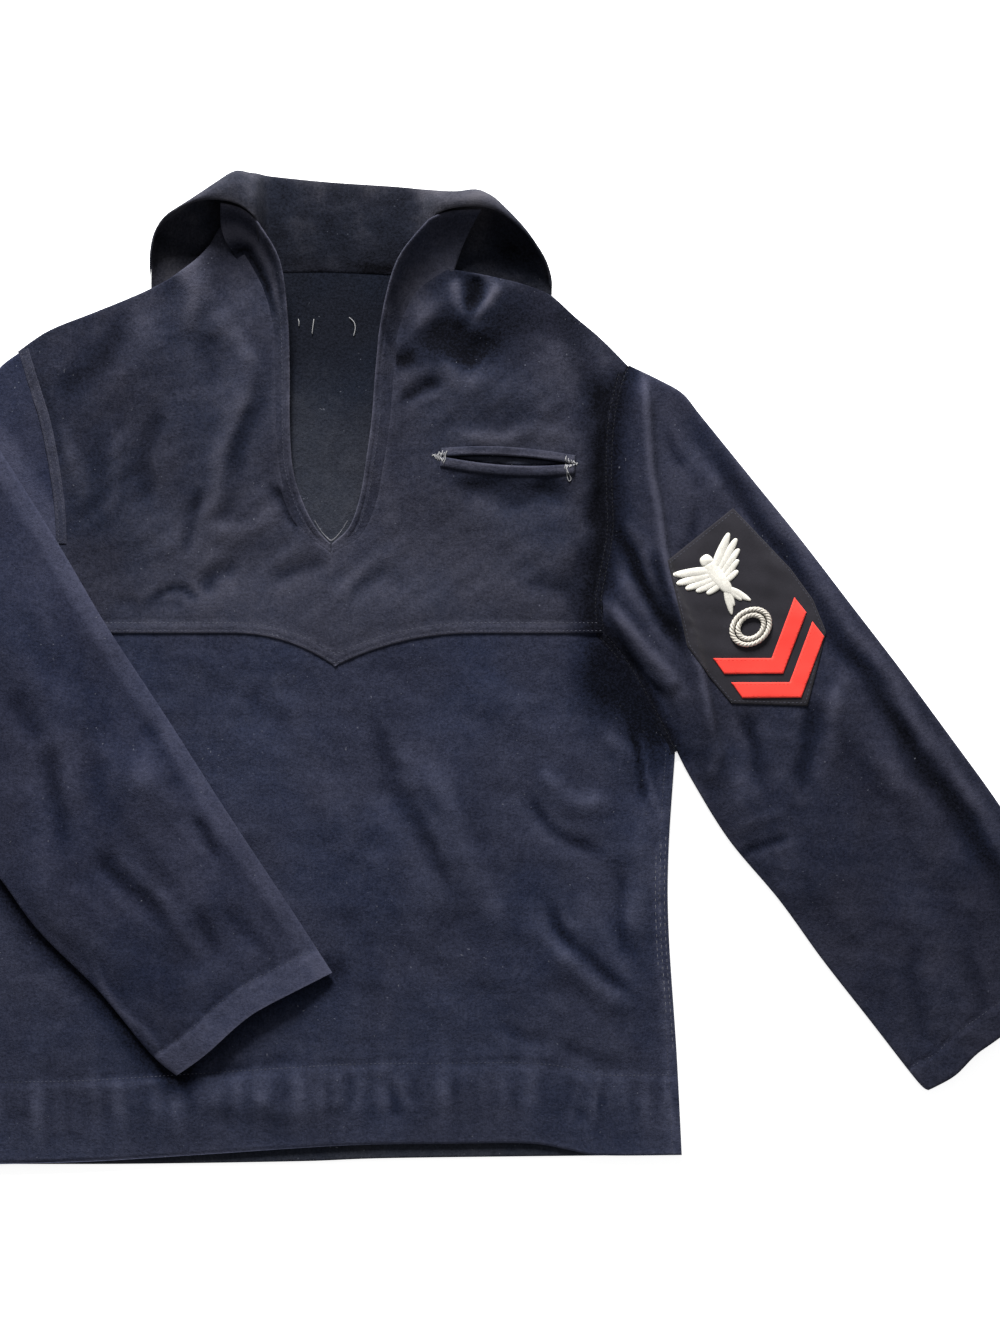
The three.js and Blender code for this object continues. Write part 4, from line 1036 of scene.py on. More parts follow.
# The share of the yoke's rows that lie below the V
CENTRE_SHARE = 0.27


def two_rates(line, corner, up):
    """Points on a line whose corner, at a share of its length, falls at a fixed share of the steps."""
    past = corner + (up - CENTRE_SHARE) / (1 - CENTRE_SHARE) * (1 - corner)
    return along(line, np.where(up < CENTRE_SHARE, up / CENTRE_SHARE * corner, past))


def yoke_under(x, y):
    """Level of the yoke's under side."""
    waves = body_relief(x, y, YOKE_FOLDS, YOKE_CREASES, 21) * smooth((y - yoke_edge(x)) / 30)
    return np.maximum(front_under(x, y) + yoke_step(x, y) + waves, back_top(x, y) + CLEAR)


def make_yoke(sizes):
    """The front yoke, with its pointed lower edge and the pocket's slit."""
    cloth, step = sizes.cloth / MM, sizes.grid / MM
    x = np.linspace(ARMHOLE_LEFT[-1][0], ARMHOLE_RIGHT[-1][0], 120)
    lower = np.stack([x, yoke_edge(x)], axis=-1)
    armholes = [spline(ARMHOLE_LEFT), spline(ARMHOLE_RIGHT)]
    necks = [spline(NECK_SEAM_LEFT), spline(NECK_SEAM_RIGHT)]
    shoulders = [spline(YOKE_SHOULDER_LEFT), spline(YOKE_SHOULDER_RIGHT)]
    patches = []
    for plan in yoke_plan(step):
        low_gap, low_place = nearest(plan, lower)
        edge = np.minimum.reduce([low_gap] + [nearest(plan, line)[0] for line in armholes + shoulders])
        neck_gap = np.minimum(*[nearest(plan, line)[0] for line in necks])
        lip = 0.55 * smooth((8.2 - low_gap) / 1.5) - 0.55 * bell(low_gap - 8, 1.2) - 0.35 * bell(low_gap - 2, 0.9)
        lip = lip + 0.3 * pucker(low_gap - 8, low_place, 23) - 0.25 * smooth((1.5 - neck_gap) / 1.5)
        outer, inner = wall(plan, yoke_under(plan[..., 0], plan[..., 1]), cloth, edge)
        outer[..., 2] += lip * rounded(edge)
        patches.append((outer, inner))

    def in_slit(centres):
        u, v = pocket_frame(centres[:, 0], centres[:, 1])
        return (np.abs(v) < slit_half(u) + 2.4) & (np.abs(u) < POCKET["half"])

    piece = shell("yoke_cloth", patches, wool("yoke"), drop=in_slit)
    flat, x, y = plan_of(piece)
    low = nearest(flat, lower)[0]
    u, v = pocket_frame(x, y)
    wear_and_painted_light = 0.5 * fade(low, 1.3) + 0.18 * fade(np.abs(low - 8), 1.6) + 0.14 * smooth((8.5 - low) / 1.5)
    wear_and_painted_light = wear_and_painted_light + 0.25 * fade(np.minimum(*[nearest(flat, line)[0] for line in necks]), 2)
    # Crests pale and troughs dark with painted shade, and soft spots of painted light and shade
    wear_and_painted_light = wear_and_painted_light + crest_wear_and_trough_shade(x, y, YOKE_FOLDS, YOKE_CREASES) + painted_light_spots(YOKE_LIGHT_AND_SHADE_SPOTS, x, y)
    # Painted shadow below the pocket's lower welt and painted light above its upper one
    wear_and_painted_light = wear_and_painted_light - 0.5 * bell(v + 16, 6) * smooth((52 - np.abs(u + 4)) / 24)
    wear_and_painted_light = wear_and_painted_light + 0.3 * bell(v - 14, 7) * smooth((56 - np.abs(u)) / 24)
    # Painted shade in the valley beside the right armhole
    wear_and_painted_light = wear_and_painted_light - 1.3 * bell(nearest(flat, armholes[1])[0], 21) * smooth((236 - y) / 40)
    store_painted_light_and_wear(piece, wear_and_painted_light)
    settle(piece, ["yoke"])


def make_welt(name, side, depth, sizes):
    """One lip of the pocket's mouth: side is 1 above the mouth and -1 below it."""
    half = POCKET["half"] + 2.5
    ends = np.array([0, 0.4, 1.4])
    u = np.concatenate([ends - half, np.linspace(-half + 3, half - 3, 58), half - ends[::-1]])
    v = np.array([0, 0.25, 0.7, 1.3, 2.2, 3.2, 4.2, depth - 0.9, depth - 0.3, depth])
    u, v = np.meshgrid(u, v)
    inside = slit_half(np.clip(u, -POCKET["half"], POCKET["half"])) * 0.96 + 0.12
    plan = np.dstack(on_plan(POCKET, u, side * (inside + v)))
    edge = np.minimum(np.minimum(v, depth - v), half - np.abs(u))
    base = yoke_under(plan[..., 0], plan[..., 1]) + sizes.cloth / MM
    crown = 0.35 + 1.5 * rounded(edge, 1.5) - 0.35 * bell(v - depth + 1.6, 0.7) + 0.25 * bell(v, 1.6)
    crown = crown + 0.18 * ripple(plan[..., 0], plan[..., 1], 17, 31 + side)
    faces = np.dstack([plan, base + crown]), np.dstack([plan, base - 0.5 - 0.9 * bell(v, 1.2)])
    piece = shell(name, [faces], wool("yoke"))
    _, x, y = plan_of(piece)
    from_lip = np.abs(pocket_frame(x, y)[1]) - slit_half(0)
    store_painted_light_and_wear(piece, 0.5 * fade(np.abs(from_lip - 0.8), 1.2) + 0.2)
    settle(piece, [f"pocket_{name}"])


def make_pocket(sizes):
    """The pocket's two welts and the lining seen through its mouth."""
    make_welt("welt_upper", 1, 6.6, sizes)
    make_welt("welt_lower", -1, 7.6, sizes)
    length, depth, above = 112.0, 92.0, 10
    v = np.concatenate([np.linspace(above - depth, -8, 18), np.linspace(-7, above, 24)])
    u, v = np.meshgrid(np.linspace(-length / 2, length / 2, 60), v)
    plan = np.dstack(on_plan(POCKET, u, v))
    x, y = plan[..., 0], plan[..., 1]
    level = np.minimum(front_under(x, y) + yoke_step(x, y), yoke_under(x, y)) - CLEAR
    mouth = slit_half(np.clip(u, -POCKET["half"], POCKET["half"])) + 2
    level = np.where(np.abs(v) < mouth, yoke_under(x, y) + 0.5 * smooth((mouth - np.abs(v)) / 2), level)
    edge = np.minimum(length / 2 - np.abs(u), np.minimum(above - v, v + depth - above))
    bag = shell("pocket_lining", [wall(plan, level - 0.9, 0.7, edge)], wool("lining"))
    _, x, y = plan_of(bag)
    u, v = pocket_frame(x, y)
    from_lip = np.abs(v) - slit_half(np.clip(u, -POCKET["half"], POCKET["half"]))
    # Painted shade in dark lines along both edges of the pocket's mouth
    store_painted_light_and_wear(bag, 0.35 - 1.6 * bell(from_lip, 1.3))
    settle(bag, ["pocket_bag"])


# The collar


def thickened(grid, cloth, edge):
    """Two faces on either side of a grid of points in space."""
    normal = np.cross(np.gradient(grid, axis=1), np.gradient(grid, axis=0))
    normal /= np.maximum(np.linalg.norm(normal, axis=-1, keepdims=True), 1e-9)
    half = (cloth / 2 * rounded(edge, 1.6))[..., None]
    return grid + normal * half, grid - normal * half


def grid_edge(grid, first_row=True):
    """Distance of a grid's points from its open sides, measured along the grid."""
    down, over = (
        np.insert(np.cumsum(np.linalg.norm(np.diff(grid, axis=axis), axis=-1), axis=axis), 0, 0, axis=axis)
        for axis in (0, 1)
    )
    gaps = [down[-1:] - down, over, over[:, -1:] - over] + ([down] if first_row else [])
    return np.minimum.reduce(gaps)


def collar_grid(step):
    """The collar's middle surface: sections from the front edge over the roll and under the back."""
    left, right = FLAP["left"], FLAP["right"]
    ends = np.array([0, 0.3, 0.8, 1.6, 2.6, 4, 6, 9])
    x = np.concatenate([
        left + ends, np.arange(left + 12, -65, step), np.linspace(-64, -45, 14), np.arange(-42, 58, step),
        np.linspace(60, 84, 16), np.arange(87, right - 11, step), right - ends[::-1],
    ])
    height = by_x(COLLAR_TOP, x)
    rim = smooth(np.interp(x, *np.array(COLLAR_RIM_SHARE).T))
    neck = by_x(BACK_NECK, np.clip(x, -50, 50)) - 2.6
    neck_level = back_top(x, neck) - 0.35
    front = lerp(neck, by_x(COLLAR_RIM, x), rim)
    fold = by_x(COLLAR_FOLD_LINE, x)
    floor = CLOTH / 2
    rows = []
    for reach, rise in zip(COLLAR_REACH, COLLAR_RISE):
        standing = lerp(neck_level, height, smooth(np.array(reach / 0.5)))
        level = lerp(standing, height, rim) if reach < 0.9 else height
        rows.append(np.stack([x, lerp(front, fold, reach), np.maximum(floor, level * rise)], axis=-1))
    for share in COLLAR_UNDER:
        rows.append(np.stack([x, lerp(fold, FLAP["bottom"], share), np.full(x.shape, floor)], axis=-1))
    grid = spline(np.array(rows), 10)
    grid[..., 2] = np.maximum(grid[..., 2], floor)
    return grid


def make_collar(sizes):
    """The collar: its stand and roll, and its flap under the back; then its two arms."""
    cloth, step = sizes.cloth / MM, sizes.grid / MM
    grid = collar_grid(step)
    x, y, z = grid[..., 0], grid[..., 1], grid[..., 2]
    lifted = smooth((z - 3) / 6)
    grid[..., 2] = z + 0.45 * ripple(x, y, 36, 41) * lifted + 0.2 * ripple(x, y, 15, 42) * lifted
    outer, inner = thickened(grid, cloth, grid_edge(grid))
    for face in (outer, inner):
        face[..., 2] = np.maximum(face[..., 2], 0.02)
    collar = shell("collar_cloth", [(outer, inner)], wool("collar"))
    x, y, z = points_of(collar).T
    wear_and_painted_light = 0.45 * fade(np.abs(y - by_x(COLLAR_RIM, x)), 2.5) * (z > 10)
    # Pale along the fold line, and soft spots of painted light and shade
    wear_and_painted_light = wear_and_painted_light + 0.25 * fade(np.abs(y - by_x(COLLAR_FOLD_LINE, x)), 4) + painted_light_spots(COLLAR_LIGHT_AND_SHADE_SPOTS, x, y)
    # Painted shade on the middle of the stand, which faces away from the light
    wear_and_painted_light = wear_and_painted_light - 0.38 * smooth((66 - np.abs(x - 8)) / 14)
    wear_and_painted_light = wear_and_painted_light + 0.12 * ripple(x, y, 30, 44) + 0.1 * ripple(x, y, 12, 45)
    store_painted_light_and_wear(collar, wear_and_painted_light)
    settle(collar, ["collar"])
    for side, seam, foot_end, rim, rim_end in (
        ("left", NECK_SEAM_LEFT, FOOT_END_LEFT, RIM_LEFT, RIM_END_LEFT),
        ("right", NECK_SEAM_RIGHT, FOOT_END_RIGHT, RIM_RIGHT, RIM_END_RIGHT),
    ):
        make_arm(side, [spline(seam), spline(foot_end)], [spline(rim), spline(rim_end)], step, cloth)


# The arm's part tucked under the yoke's edge, the band along its rim, and where its stitches end
ARM_TUCK = 4.0
ARM_BAND = 6.0
ARM_BAND_TOP = 270


def make_arm(side, foot, rim, step, cloth):
    """One front arm of the collar: from the neck seam, where it comes out under the yoke's edge, up to its rim."""
    bulge = -5 if side == "left" else -2
    turn = stops(length_of(rim[0]), step, True, False)
    end = stops(length_of(rim[1]), step, False, True)[1:]
    foot_line = np.concatenate([along(foot[0], turn), along(foot[1], end)])
    rim_line = np.concatenate([along(rim[0], turn), along(rim[1], end)])
    past = np.concatenate([np.zeros(len(turn)), end])
    t = np.concatenate([turn, np.ones(len(end))])
    level = yoke_under(foot_line[:, 0], foot_line[:, 1]) + 0.8
    rise = lerp(2.2, 20, smooth((t - 0.45) / 0.55)) * smooth(t / 0.12) + 0.8 + 0.3 * past
    out = foot_line - rim_line
    out /= np.maximum(np.linalg.norm(out, axis=1, keepdims=True), 3)
    rows = []
    for reach in (1, 0.6, 0.25):
        rows.append(np.column_stack([foot_line + out * ARM_TUCK * reach, level - 0.15 - 0.6 * reach]))
    for share in np.concatenate([np.linspace(0, 0.9, 15), [0.94, 0.97, 0.99, 1]]):
        plan = lerp(foot_line, rim_line, share)
        plan[:, 0] += bulge * past * math.sin(math.pi * share)
        x, y = plan.T
        gap = np.linalg.norm(rim_line - plan, axis=1)
        wave = (0.35 * ripple(x, y, 30, 51) + 0.2 * ripple(x, y, 13, 52)) * share
        band = 0.35 * smooth((ARM_BAND - gap) / 1.2) - 0.35 * bell(gap - ARM_BAND, 0.9)
        stitched = smooth((ARM_BAND_TOP - y) / 1.5) * smooth((y - 92) / 12)
        rows.append(np.column_stack([plan, level + rise * share**1.4 + wave + band * stitched]))
    grid = np.array(rows)
    faces = thickened(grid, cloth * 1.1, grid_edge(grid, first_row=False))
    piece = shell(f"lapel_cloth_{side}", [faces], wool("yoke"))
    flat, _, y = plan_of(piece)
    gap = nearest(flat, rim_line)[0]
    wear_and_painted_light = 0.55 * fade(gap, 1.3) + 0.3 * smooth((112 - y) / 20) + 0.12 * (gap < ARM_BAND) * (y < ARM_BAND_TOP)
    share = gap / np.maximum(gap + nearest(flat, foot_line)[0], 1e-3)
    # Painted light and shade of folds on the arm's upper part: on the left a pale crest between two dark troughs, on
    # the right lighter towards the foot
    if side == "left":
        fold = 0.6 * bell(share - 0.5, 0.16) - 0.9 * bell(share - 0.86, 0.16) - 0.3 * bell(share - 0.22, 0.12)
    else:
        fold = 0.5 * smooth((share - 0.25) / 0.6) - 0.05 * bell(share - 0.2, 0.12)
    store_painted_light_and_wear(piece, wear_and_painted_light + fold * smooth((y - 256) / 34) * (gap > 3))
    settle(piece, [f"lapel_{side}"])


# Sleeves


def across_sleeve(w):
    """Share of the way in from the nearer of a sleeve's two folded edges."""
    return np.minimum(w, 1 - w)


def sleeve_level(s, w):
    """How far a sleeve's upper layer stands off its lower one, s along it and w across it."""
    return SLEEVE_PUFF * smooth(s / 0.2) * smooth(across_sleeve(w) / 0.25)


def cuff_form(plan, cuff, depth, seed):
    """The turned-up cuff: a thicker band, a groove at its stitches and small gathers."""
    gap, place = nearest(plan, cuff)
    band = 0.7 * smooth((depth - gap) / 1.6) - 0.8 * bell(gap - depth, 1.3)
    return band + 0.4 * pucker(gap - depth, place, seed, 11, 8)


def sleeve_r_top(x, y, s, w):
    """Top of the spread sleeve, s along it and w across it; beside the armhole it takes over the body's level."""
    beside_body = body_top(np.minimum(x, 250), y) - lift(x, y)
    level = lerp(beside_body, TWO_LAYERS + sleeve_level(s, w), smooth(s / 0.25))
    waves = relief(SLEEVE_R_FOLDS, x, y) + relief(SLEEVE_R_CREASES, x, y)
    waves = waves + sleeve_ridge(x, y) + TUCK_HEIGHT * tuck(x, y)
    waves = waves + (0.6 * ripple(x, y, 66, 61) + 0.35 * ripple(x, y, 26, 62)) * smooth(s / 0.06)
    return np.maximum(level + waves * smooth(across_sleeve(w) / 0.06), TWO_LAYERS)


def make_sleeve_right(sizes):
    """The spread sleeve: a flattened tube from the armhole to the cuff."""
    cloth, step = sizes.cloth / MM, sizes.grid / MM
    w, s = stops(SLEEVE_WIDTH, step), stops(SLEEVE_LENGTH, step)
    over, under, cuff = spline(SLEEVE_R_OVER), spline(SLEEVE_R_UNDER), spline(SLEEVE_R_CUFF)
    seam = joined([[x + 0.5, y + 0.1] for x, y in ARMHOLE_RIGHT], [[x + 0.6, y + 0.3] for x, y in UNDERARM_RIGHT])
    plan = coons(over, under, seam, cuff, w, s)
    x, y = plan[..., 0], plan[..., 1]
    from_cuff = (1 - s[:, None]) * SLEEVE_LENGTH
    high = sleeve_r_top(x, y, s[:, None], w[None, :]) + cuff_form(plan, cuff, sizes.cuff / MM, 63)
    high = high - 0.9 * smooth((3 - from_cuff) / 3)
    faces = ring_faces(plan, w, np.zeros(x.shape), high, cloth, 4.5)
    piece = shell("sleeve_right_cloth", [faces], wool("sleeve_right"))
    flat, x, y = plan_of(piece)
    beside, on_tuck = beside_ridge(x, y), tuck(x, y)
    groove = nearest(flat, np.reshape(SLEEVE_R_FOLDS[1][:4], (2, 2)).astype(float))[0]
    # Pale at the cuff's edge; crests pale and troughs dark with painted shade
    wear_and_painted_light = 0.6 * fade(nearest(flat, cuff)[0], 1.5) + crest_wear_and_trough_shade(x, y, SLEEVE_R_FOLDS, SLEEVE_R_CREASES)
    wear_and_painted_light = wear_and_painted_light + 0.3 * fade(np.minimum(nearest(flat, over)[0], nearest(flat, under)[0]), 2.5)
    # Painted highlight along the crest beside the armhole
    wear_and_painted_light = wear_and_painted_light + 0.75 * bell(beside + 1, 3.2) * smooth((y + 70) / 60) * smooth((232 - y) / 24)
    # Painted shade in the valley by the armhole, and painted light on the sleeve beyond the crest
    wear_and_painted_light = wear_and_painted_light - 0.9 * bell(nearest(flat, spline(ARMHOLE_RIGHT))[0], 11) * smooth((y - 40) / 20)
    wear_and_painted_light = wear_and_painted_light - 0.05 * on_tuck + painted_light_spots(SLEEVE_R_LIGHT_SPOTS, x, y) * (beside > 1)
    # Painted shade in the wedge between the tuck and the crest, along the long trough and by the underarm seam
    wedge = np.maximum(0, 1 - np.abs(beside + 9) / 8) * smooth((92 - y) / 16) * smooth((y - 4) / 30)
    wear_and_painted_light = wear_and_painted_light - 1.1 * wedge * (1 - on_tuck) - 0.42 * bell(groove, 13) * smooth((60 - y) / 140)
    wear_and_painted_light = wear_and_painted_light - 0.9 * bell(nearest(flat, spline(UNDERARM_RIGHT))[0], 9) * (1 - on_tuck)
    store_painted_light_and_wear(piece, wear_and_painted_light)
    settle(piece, ["sleeve_right"])


def make_sleeve_left(sizes):
    """The folded sleeve: it runs out to a crease beside the body, turns over and lies on the front."""
    cloth, step = sizes.cloth / MM, sizes.grid / MM
    w = stops(SLEEVE_WIDTH, step)
    over, under, cuff = spline(SLEEVE_L_OVER), spline(SLEEVE_L_UNDER), spline(SLEEVE_L_CUFF)
    seam = joined([[x + 2, y] for x, y in ARMHOLE_LEFT], [[x + 2, y] for x, y in UNDERARM_LEFT])
    lower_s = stops(SLEEVE_BESIDE, step * 1.5, True, False)
    shoulder, pit = [[-237, 238]] + SLEEVE_L_SHOULDER[1:], [[-257, -65]] + SLEEVE_L_PIT[1:]
    lower = coons(spline(shoulder), spline(pit), seam, spline(CREASE_LEFT), w, lower_s)
    upper_s = stops(SLEEVE_ON_FRONT, step, False, True)[1:]
    upper = coons(over, under, spline(CREASE_LEFT), cuff, w, upper_s)
    x, y = upper[..., 0], upper[..., 1]
    ss, ww = upper_s[:, None], w[None, :]
    rest = 2 * FOLD_AXIS - TWO_LAYERS
    waves = relief(SLEEVE_L_FOLDS, x, y) + relief(SLEEVE_L_CREASES, x, y)
    waves = waves + 0.5 * ripple(x, y, 60, 71) + 0.22 * ripple(x, y, 25, 72)
    waves = waves * smooth(across_sleeve(ww) / 0.08) * smooth(ss / 0.1)
    low = lerp(rest, np.maximum(rest, body_top(x, y) + 2 * SEAM), smooth(ss / 0.1))
    high = low + TWO_LAYERS + np.maximum(sleeve_level(ss, ww) + waves, 0)
    gape = 2.2 * smooth((26 - (1 - ss) * SLEEVE_ON_FRONT) / 26) * smooth(ww / 0.3) * smooth((1 - ww) / 0.3)
    high = high + cuff_form(upper, cuff, sizes.cuff / MM, 73) + gape

    ground = np.zeros(lower.shape[:2])
    lower_faces = ring_faces(lower, w, ground, ground + TWO_LAYERS, cloth, 3.0)
    upper_faces = ring_faces(upper, w, high, low, cloth, 6.0)
    faces = []
    for below, above in zip(lower_faces, upper_faces):
        rings = [below]
        radius = FOLD_AXIS - below[-1:, :, 2]
        for angle in np.linspace(0, np.pi, 14)[1:]:
            ring = below[-1:].copy()
            ring[..., 0] -= radius * math.sin(angle)
            ring[..., 2] = FOLD_AXIS - radius * math.cos(angle)
            rings.append(ring)
        faces.append(np.concatenate(rings + [above]))
    piece = shell("sleeve_left_cloth", [tuple(faces)], wool("sleeve_left"))
    flat, x, y = plan_of(piece)
    from_cuff = nearest(flat, cuff)[0]
    wear_and_painted_light = 0.6 * fade(from_cuff, 1.5) + 0.42 * smooth((23 - from_cuff) / 2) + 0.3 * fade(nearest(flat, under)[0], 2.5)
    # Crests pale and troughs dark with painted shade, and painted light in a band along the upper folded edge, which
    # faces the light
    wear_and_painted_light = wear_and_painted_light + crest_wear_and_trough_shade(x, y, SLEEVE_L_FOLDS, SLEEVE_L_CREASES) + 0.4 * smooth((17 - nearest(flat, over)[0]) / 9)
    store_painted_light_and_wear(piece, wear_and_painted_light)
    settle(piece, ["sleeve_left"])


def ring_faces(plan, w, low, high, cloth, turn):
    """The outer and the inner ring of points at each station of a flattened tube with folded edges of radius turn."""
    width = np.linalg.norm(plan[:, 0] - plan[:, -1], axis=-1)
    edge = across_sleeve(w)[None, :] * width[:, None]
    middle = (low + high) / 2
    half = np.abs(high - low) / 2
    way = np.sign(high - low)
    round_share = np.sqrt(np.maximum(1 - (1 - np.clip(edge / turn, 0, 1)) ** 2, 0))
    centre = np.broadcast_to(plan[:, plan.shape[1] // 2][:, None], plan.shape)
    pull = np.clip((cloth - edge * 0.8) / np.maximum(np.linalg.norm(plan - centre, axis=-1), 1e-6), 0, 0.5)
    inside = lerp(plan, centre, pull[..., None])
    hollow = np.maximum(0.2, half - cloth) * (edge > 1e-6)

    def ring(points, rise):
        top, under = np.dstack([points, middle + rise * way]), np.dstack([points, middle - rise * way])
        return np.concatenate([top, under[:, 1:-1][:, ::-1], top[:, :1]], axis=1)

    return ring(plan, half * round_share), ring(inside, hollow)


# The badge


def badge_point(x, y):
    """A point of the badge's own frame on the plan."""
    return on_plan(BADGE, x, y)


def outline_points(rows, spacing, round_corners=False):
    """Evenly spaced points round a closed outline, corners kept."""
    rows = np.array(rows, float)
    if round_corners:
        line = spline(np.vstack([rows, rows[:1]]), 12)
        count = max(8, int(length_of(line) / spacing))
        return along(line, np.linspace(0, 1, count, endpoint=False))
    points = []
    for a, b in zip(rows, np.roll(rows, -1, axis=0)):
        count = max(1, int(round(np.hypot(*(b - a)) / spacing)))
        points.append(a + (b - a) * np.linspace(0, 1, count, endpoint=False)[:, None])
    return np.concatenate(points)


def inside_outline(points, outline):
    """Which points lie inside a closed outline."""
    x, y = points[:, 0], points[:, 1]
    odd = np.zeros(len(points), bool)
    for (x0, y0), (x1, y1) in zip(outline, np.roll(outline, -1, axis=0)):
        if y0 == y1:
            continue
        odd ^= ((y0 > y) != (y1 > y)) & (x < (x1 - x0) * (y - y0) / (y1 - y0) + x0)
    return odd


def applique(name, rows, ground, skin, base, thick, spacing=2.0, radius=1.0, crown=0.0, rounded_outline=False):
    """A flat piece on the sleeve, cut to an outline: its points follow the ground and its edge is rounded over."""
    outline = outline_points(rows, spacing, rounded_outline)
    low, high = outline.min(axis=0), outline.max(axis=0)
    ring = np.vstack([outline, outline[:1]])
    xs, ys = np.meshgrid(np.arange(low[0], high[0], spacing), np.arange(low[1], high[1], spacing))
    inside = np.column_stack([xs.ravel(), ys.ravel()])
    step = np.roll(outline, -1, axis=0) - np.roll(outline, 1, axis=0)
    normal = np.column_stack([-step[:, 1], step[:, 0]]) / np.maximum(np.linalg.norm(step, axis=1, keepdims=True), 1e-9)
    area = np.sum(outline[:, 0] * np.roll(outline[:, 1], -1) - np.roll(outline[:, 0], -1) * outline[:, 1])
    rims = np.concatenate([outline + normal * inset * np.sign(area) for inset in (0.35 * radius, radius)])
    rims = rims[inside_outline(rims, outline) & (nearest(rims, ring, len(ring) * 2)[0] > 0.27 * radius)]
    inside = inside[inside_outline(inside, outline)]
    inside = inside[nearest(inside, ring, len(ring) * 2)[0] > radius * 1.4]
    points = np.vstack([outline, rims, inside])
    count = len(outline)
    edges = [(k, (k + 1) % count) for k in range(count)]
    flat, _, faces, *_ = delaunay_2d_cdt([Vector(p) for p in points.tolist()], edges, [list(range(count))], 1, 1e-5)
    flat = np.array([tuple(p) for p in flat])
    gap = nearest(flat, ring, len(ring) * 2)[0]
    top, under = [], []
    for (u, v), g in zip(flat, gap):
        x, y = badge_point(u, v)
        level = ground(x, y)
        share = float(rounded(np.array(g), radius))
        top.append((x, y, level + base + thick * share + crown * (1 - math.exp(-g / 2.5))))
        under.append((x, y, level + base - 0.15))
    return mesh_object(name, top + under, closed([list(face) for face in faces], len(top)), skin)


def sleeve_ground():
    """Height of the sleeve's top, kept even where the ray misses."""
    height = surface_of("sleeve_right_cloth")
    return lambda x, y: height(x, y, TWO_LAYERS)


def make_badge(sizes):
    """The badge: its dark ground, two chevrons, the swallow and the ring."""
    ground = sleeve_ground()
    patch = applique("badge_ground", BADGE_OUTLINE, ground, material("badge_felt"), 0.25, 0.9, 2.6, 1.0)
    settle(patch, ["badge_patch"])
    arm, width = CHEVRON["arm"], CHEVRON["width"]
    for which, level in CHEVRON_LEVELS.items():
        tip = level + CHEVRON["slope"] * arm
        rows = [
            [-3, level - width], [arm, tip - width], [arm - 0.5, tip],
            [-3, level], [-arm + 0.5, tip], [-arm, tip - width],
        ]
        piece = applique(f"chevron_{which}_felt", rows, ground, material("red_felt"), 1.25, 1.0, 2.2, 0.8)
        settle(piece, [f"chevron_{which}"])
    make_swallow(ground)
    make_ring(ground)


# Lobes of the swallow, in its own frame: x0, y0, x1, y1, width at the root, width at the tip, and height
SWALLOW_LOBES = [
    (0, 14, 0, -14, 9.0, 4.5, 1.5), (0, 12, 0, 20, 7.5, 5.0, 1.8),
    (1.5, 8, 25, 22, 5.5, 3.0, 1.3), (2, 5, 27, 15.5, 5.0, 3.0, 1.0), (2.5, 2, 24, 8.5, 4.6, 2.8, 0.9),
    (2.5, -1, 19, 2.5, 4.2, 2.6, 0.8), (2, -4, 14, -3.5, 3.8, 2.4, 0.7), (1, -10, 8.5, -26, 4.4, 1.8, 0.9),
    (0.5, -11, 3.5, -22, 3.4, 1.8, 1.0),
]


def lobe_rows(x0, y0, x1, y1, root, tip):
    """A petal-shaped outline from a root to a tip."""
    dx, dy = x1 - x0, y1 - y0
    size = math.hypot(dx, dy)
    nx, ny = -dy / size, dx / size
    widths = [(0, root * 0.7), (0.35, root), (0.75, (root + tip) / 2), (0.95, tip * 0.8)]
    left, right = (
        [[x0 + dx * share + side * nx * width / 2, y0 + dy * share + side * ny * width / 2] for share, width in widths]
        for side in (1, -1)
    )
    return left + [[x1, y1]] + right[::-1]


def make_swallow(ground):
    """A white embroidered swallow with spread wings, in padded lobes."""
    lobes, silk = [], material("white_silk")
    for row in SWALLOW_LOBES:
        x0, y0, x1, y1, root, tip, high = [v * SWALLOW["scale"] for v in row]
        for side in (1,) if x0 == x1 == 0 else (1, -1):
            ends = (SWALLOW["x"] + side * x0, SWALLOW["y"] + y0, SWALLOW["x"] + side * x1, SWALLOW["y"] + y1)
            rows = lobe_rows(*ends, root * 1.25, tip * 1.3)
            name = f"swallow_lobe_{len(lobes)}"
            lobes.append(applique(name, rows, ground, silk, 1.2, 0.7, 0.9, 0.8, high * 0.6, True))
    settle(join(lobes, "swallow_embroidery"), ["badge_swallow"])


def join(objects, name):
    """Several meshes as one object."""
    with bpy.context.temp_override(active_object=objects[0], selected_editable_objects=objects):
        bpy.ops.object.join()
    objects[0].name = name
    objects[0].data.name = name
    return objects[0]


def make_ring(ground):
    """A ring of three-strand rope, coiled twice."""
    strands, cord = [], material("grey_cord")
    for coil in RING["coils"]:
        turns = round(0.8 * coil)
        for strand in range(3):
            path = []
            for angle in np.linspace(0, 2 * math.pi, 110, endpoint=False):
                twist = turns * angle + 2 * math.pi * strand / 3
                radius = coil + RING["twist"] * math.cos(twist)
                across, up = 1.25 * radius * math.cos(angle), radius * math.sin(angle)
                x, y = badge_point(RING["x"] + across, RING["y"] + up)
                path.append((x, y, ground(x, y) + 2.3 + RING["twist"] * math.sin(twist)))
            strands.append(swept(f"ring_strand_{len(strands)}", path, RING["strand"], True, cord))
    settle(join(strands, "ring_rope"), ["badge_ring"])


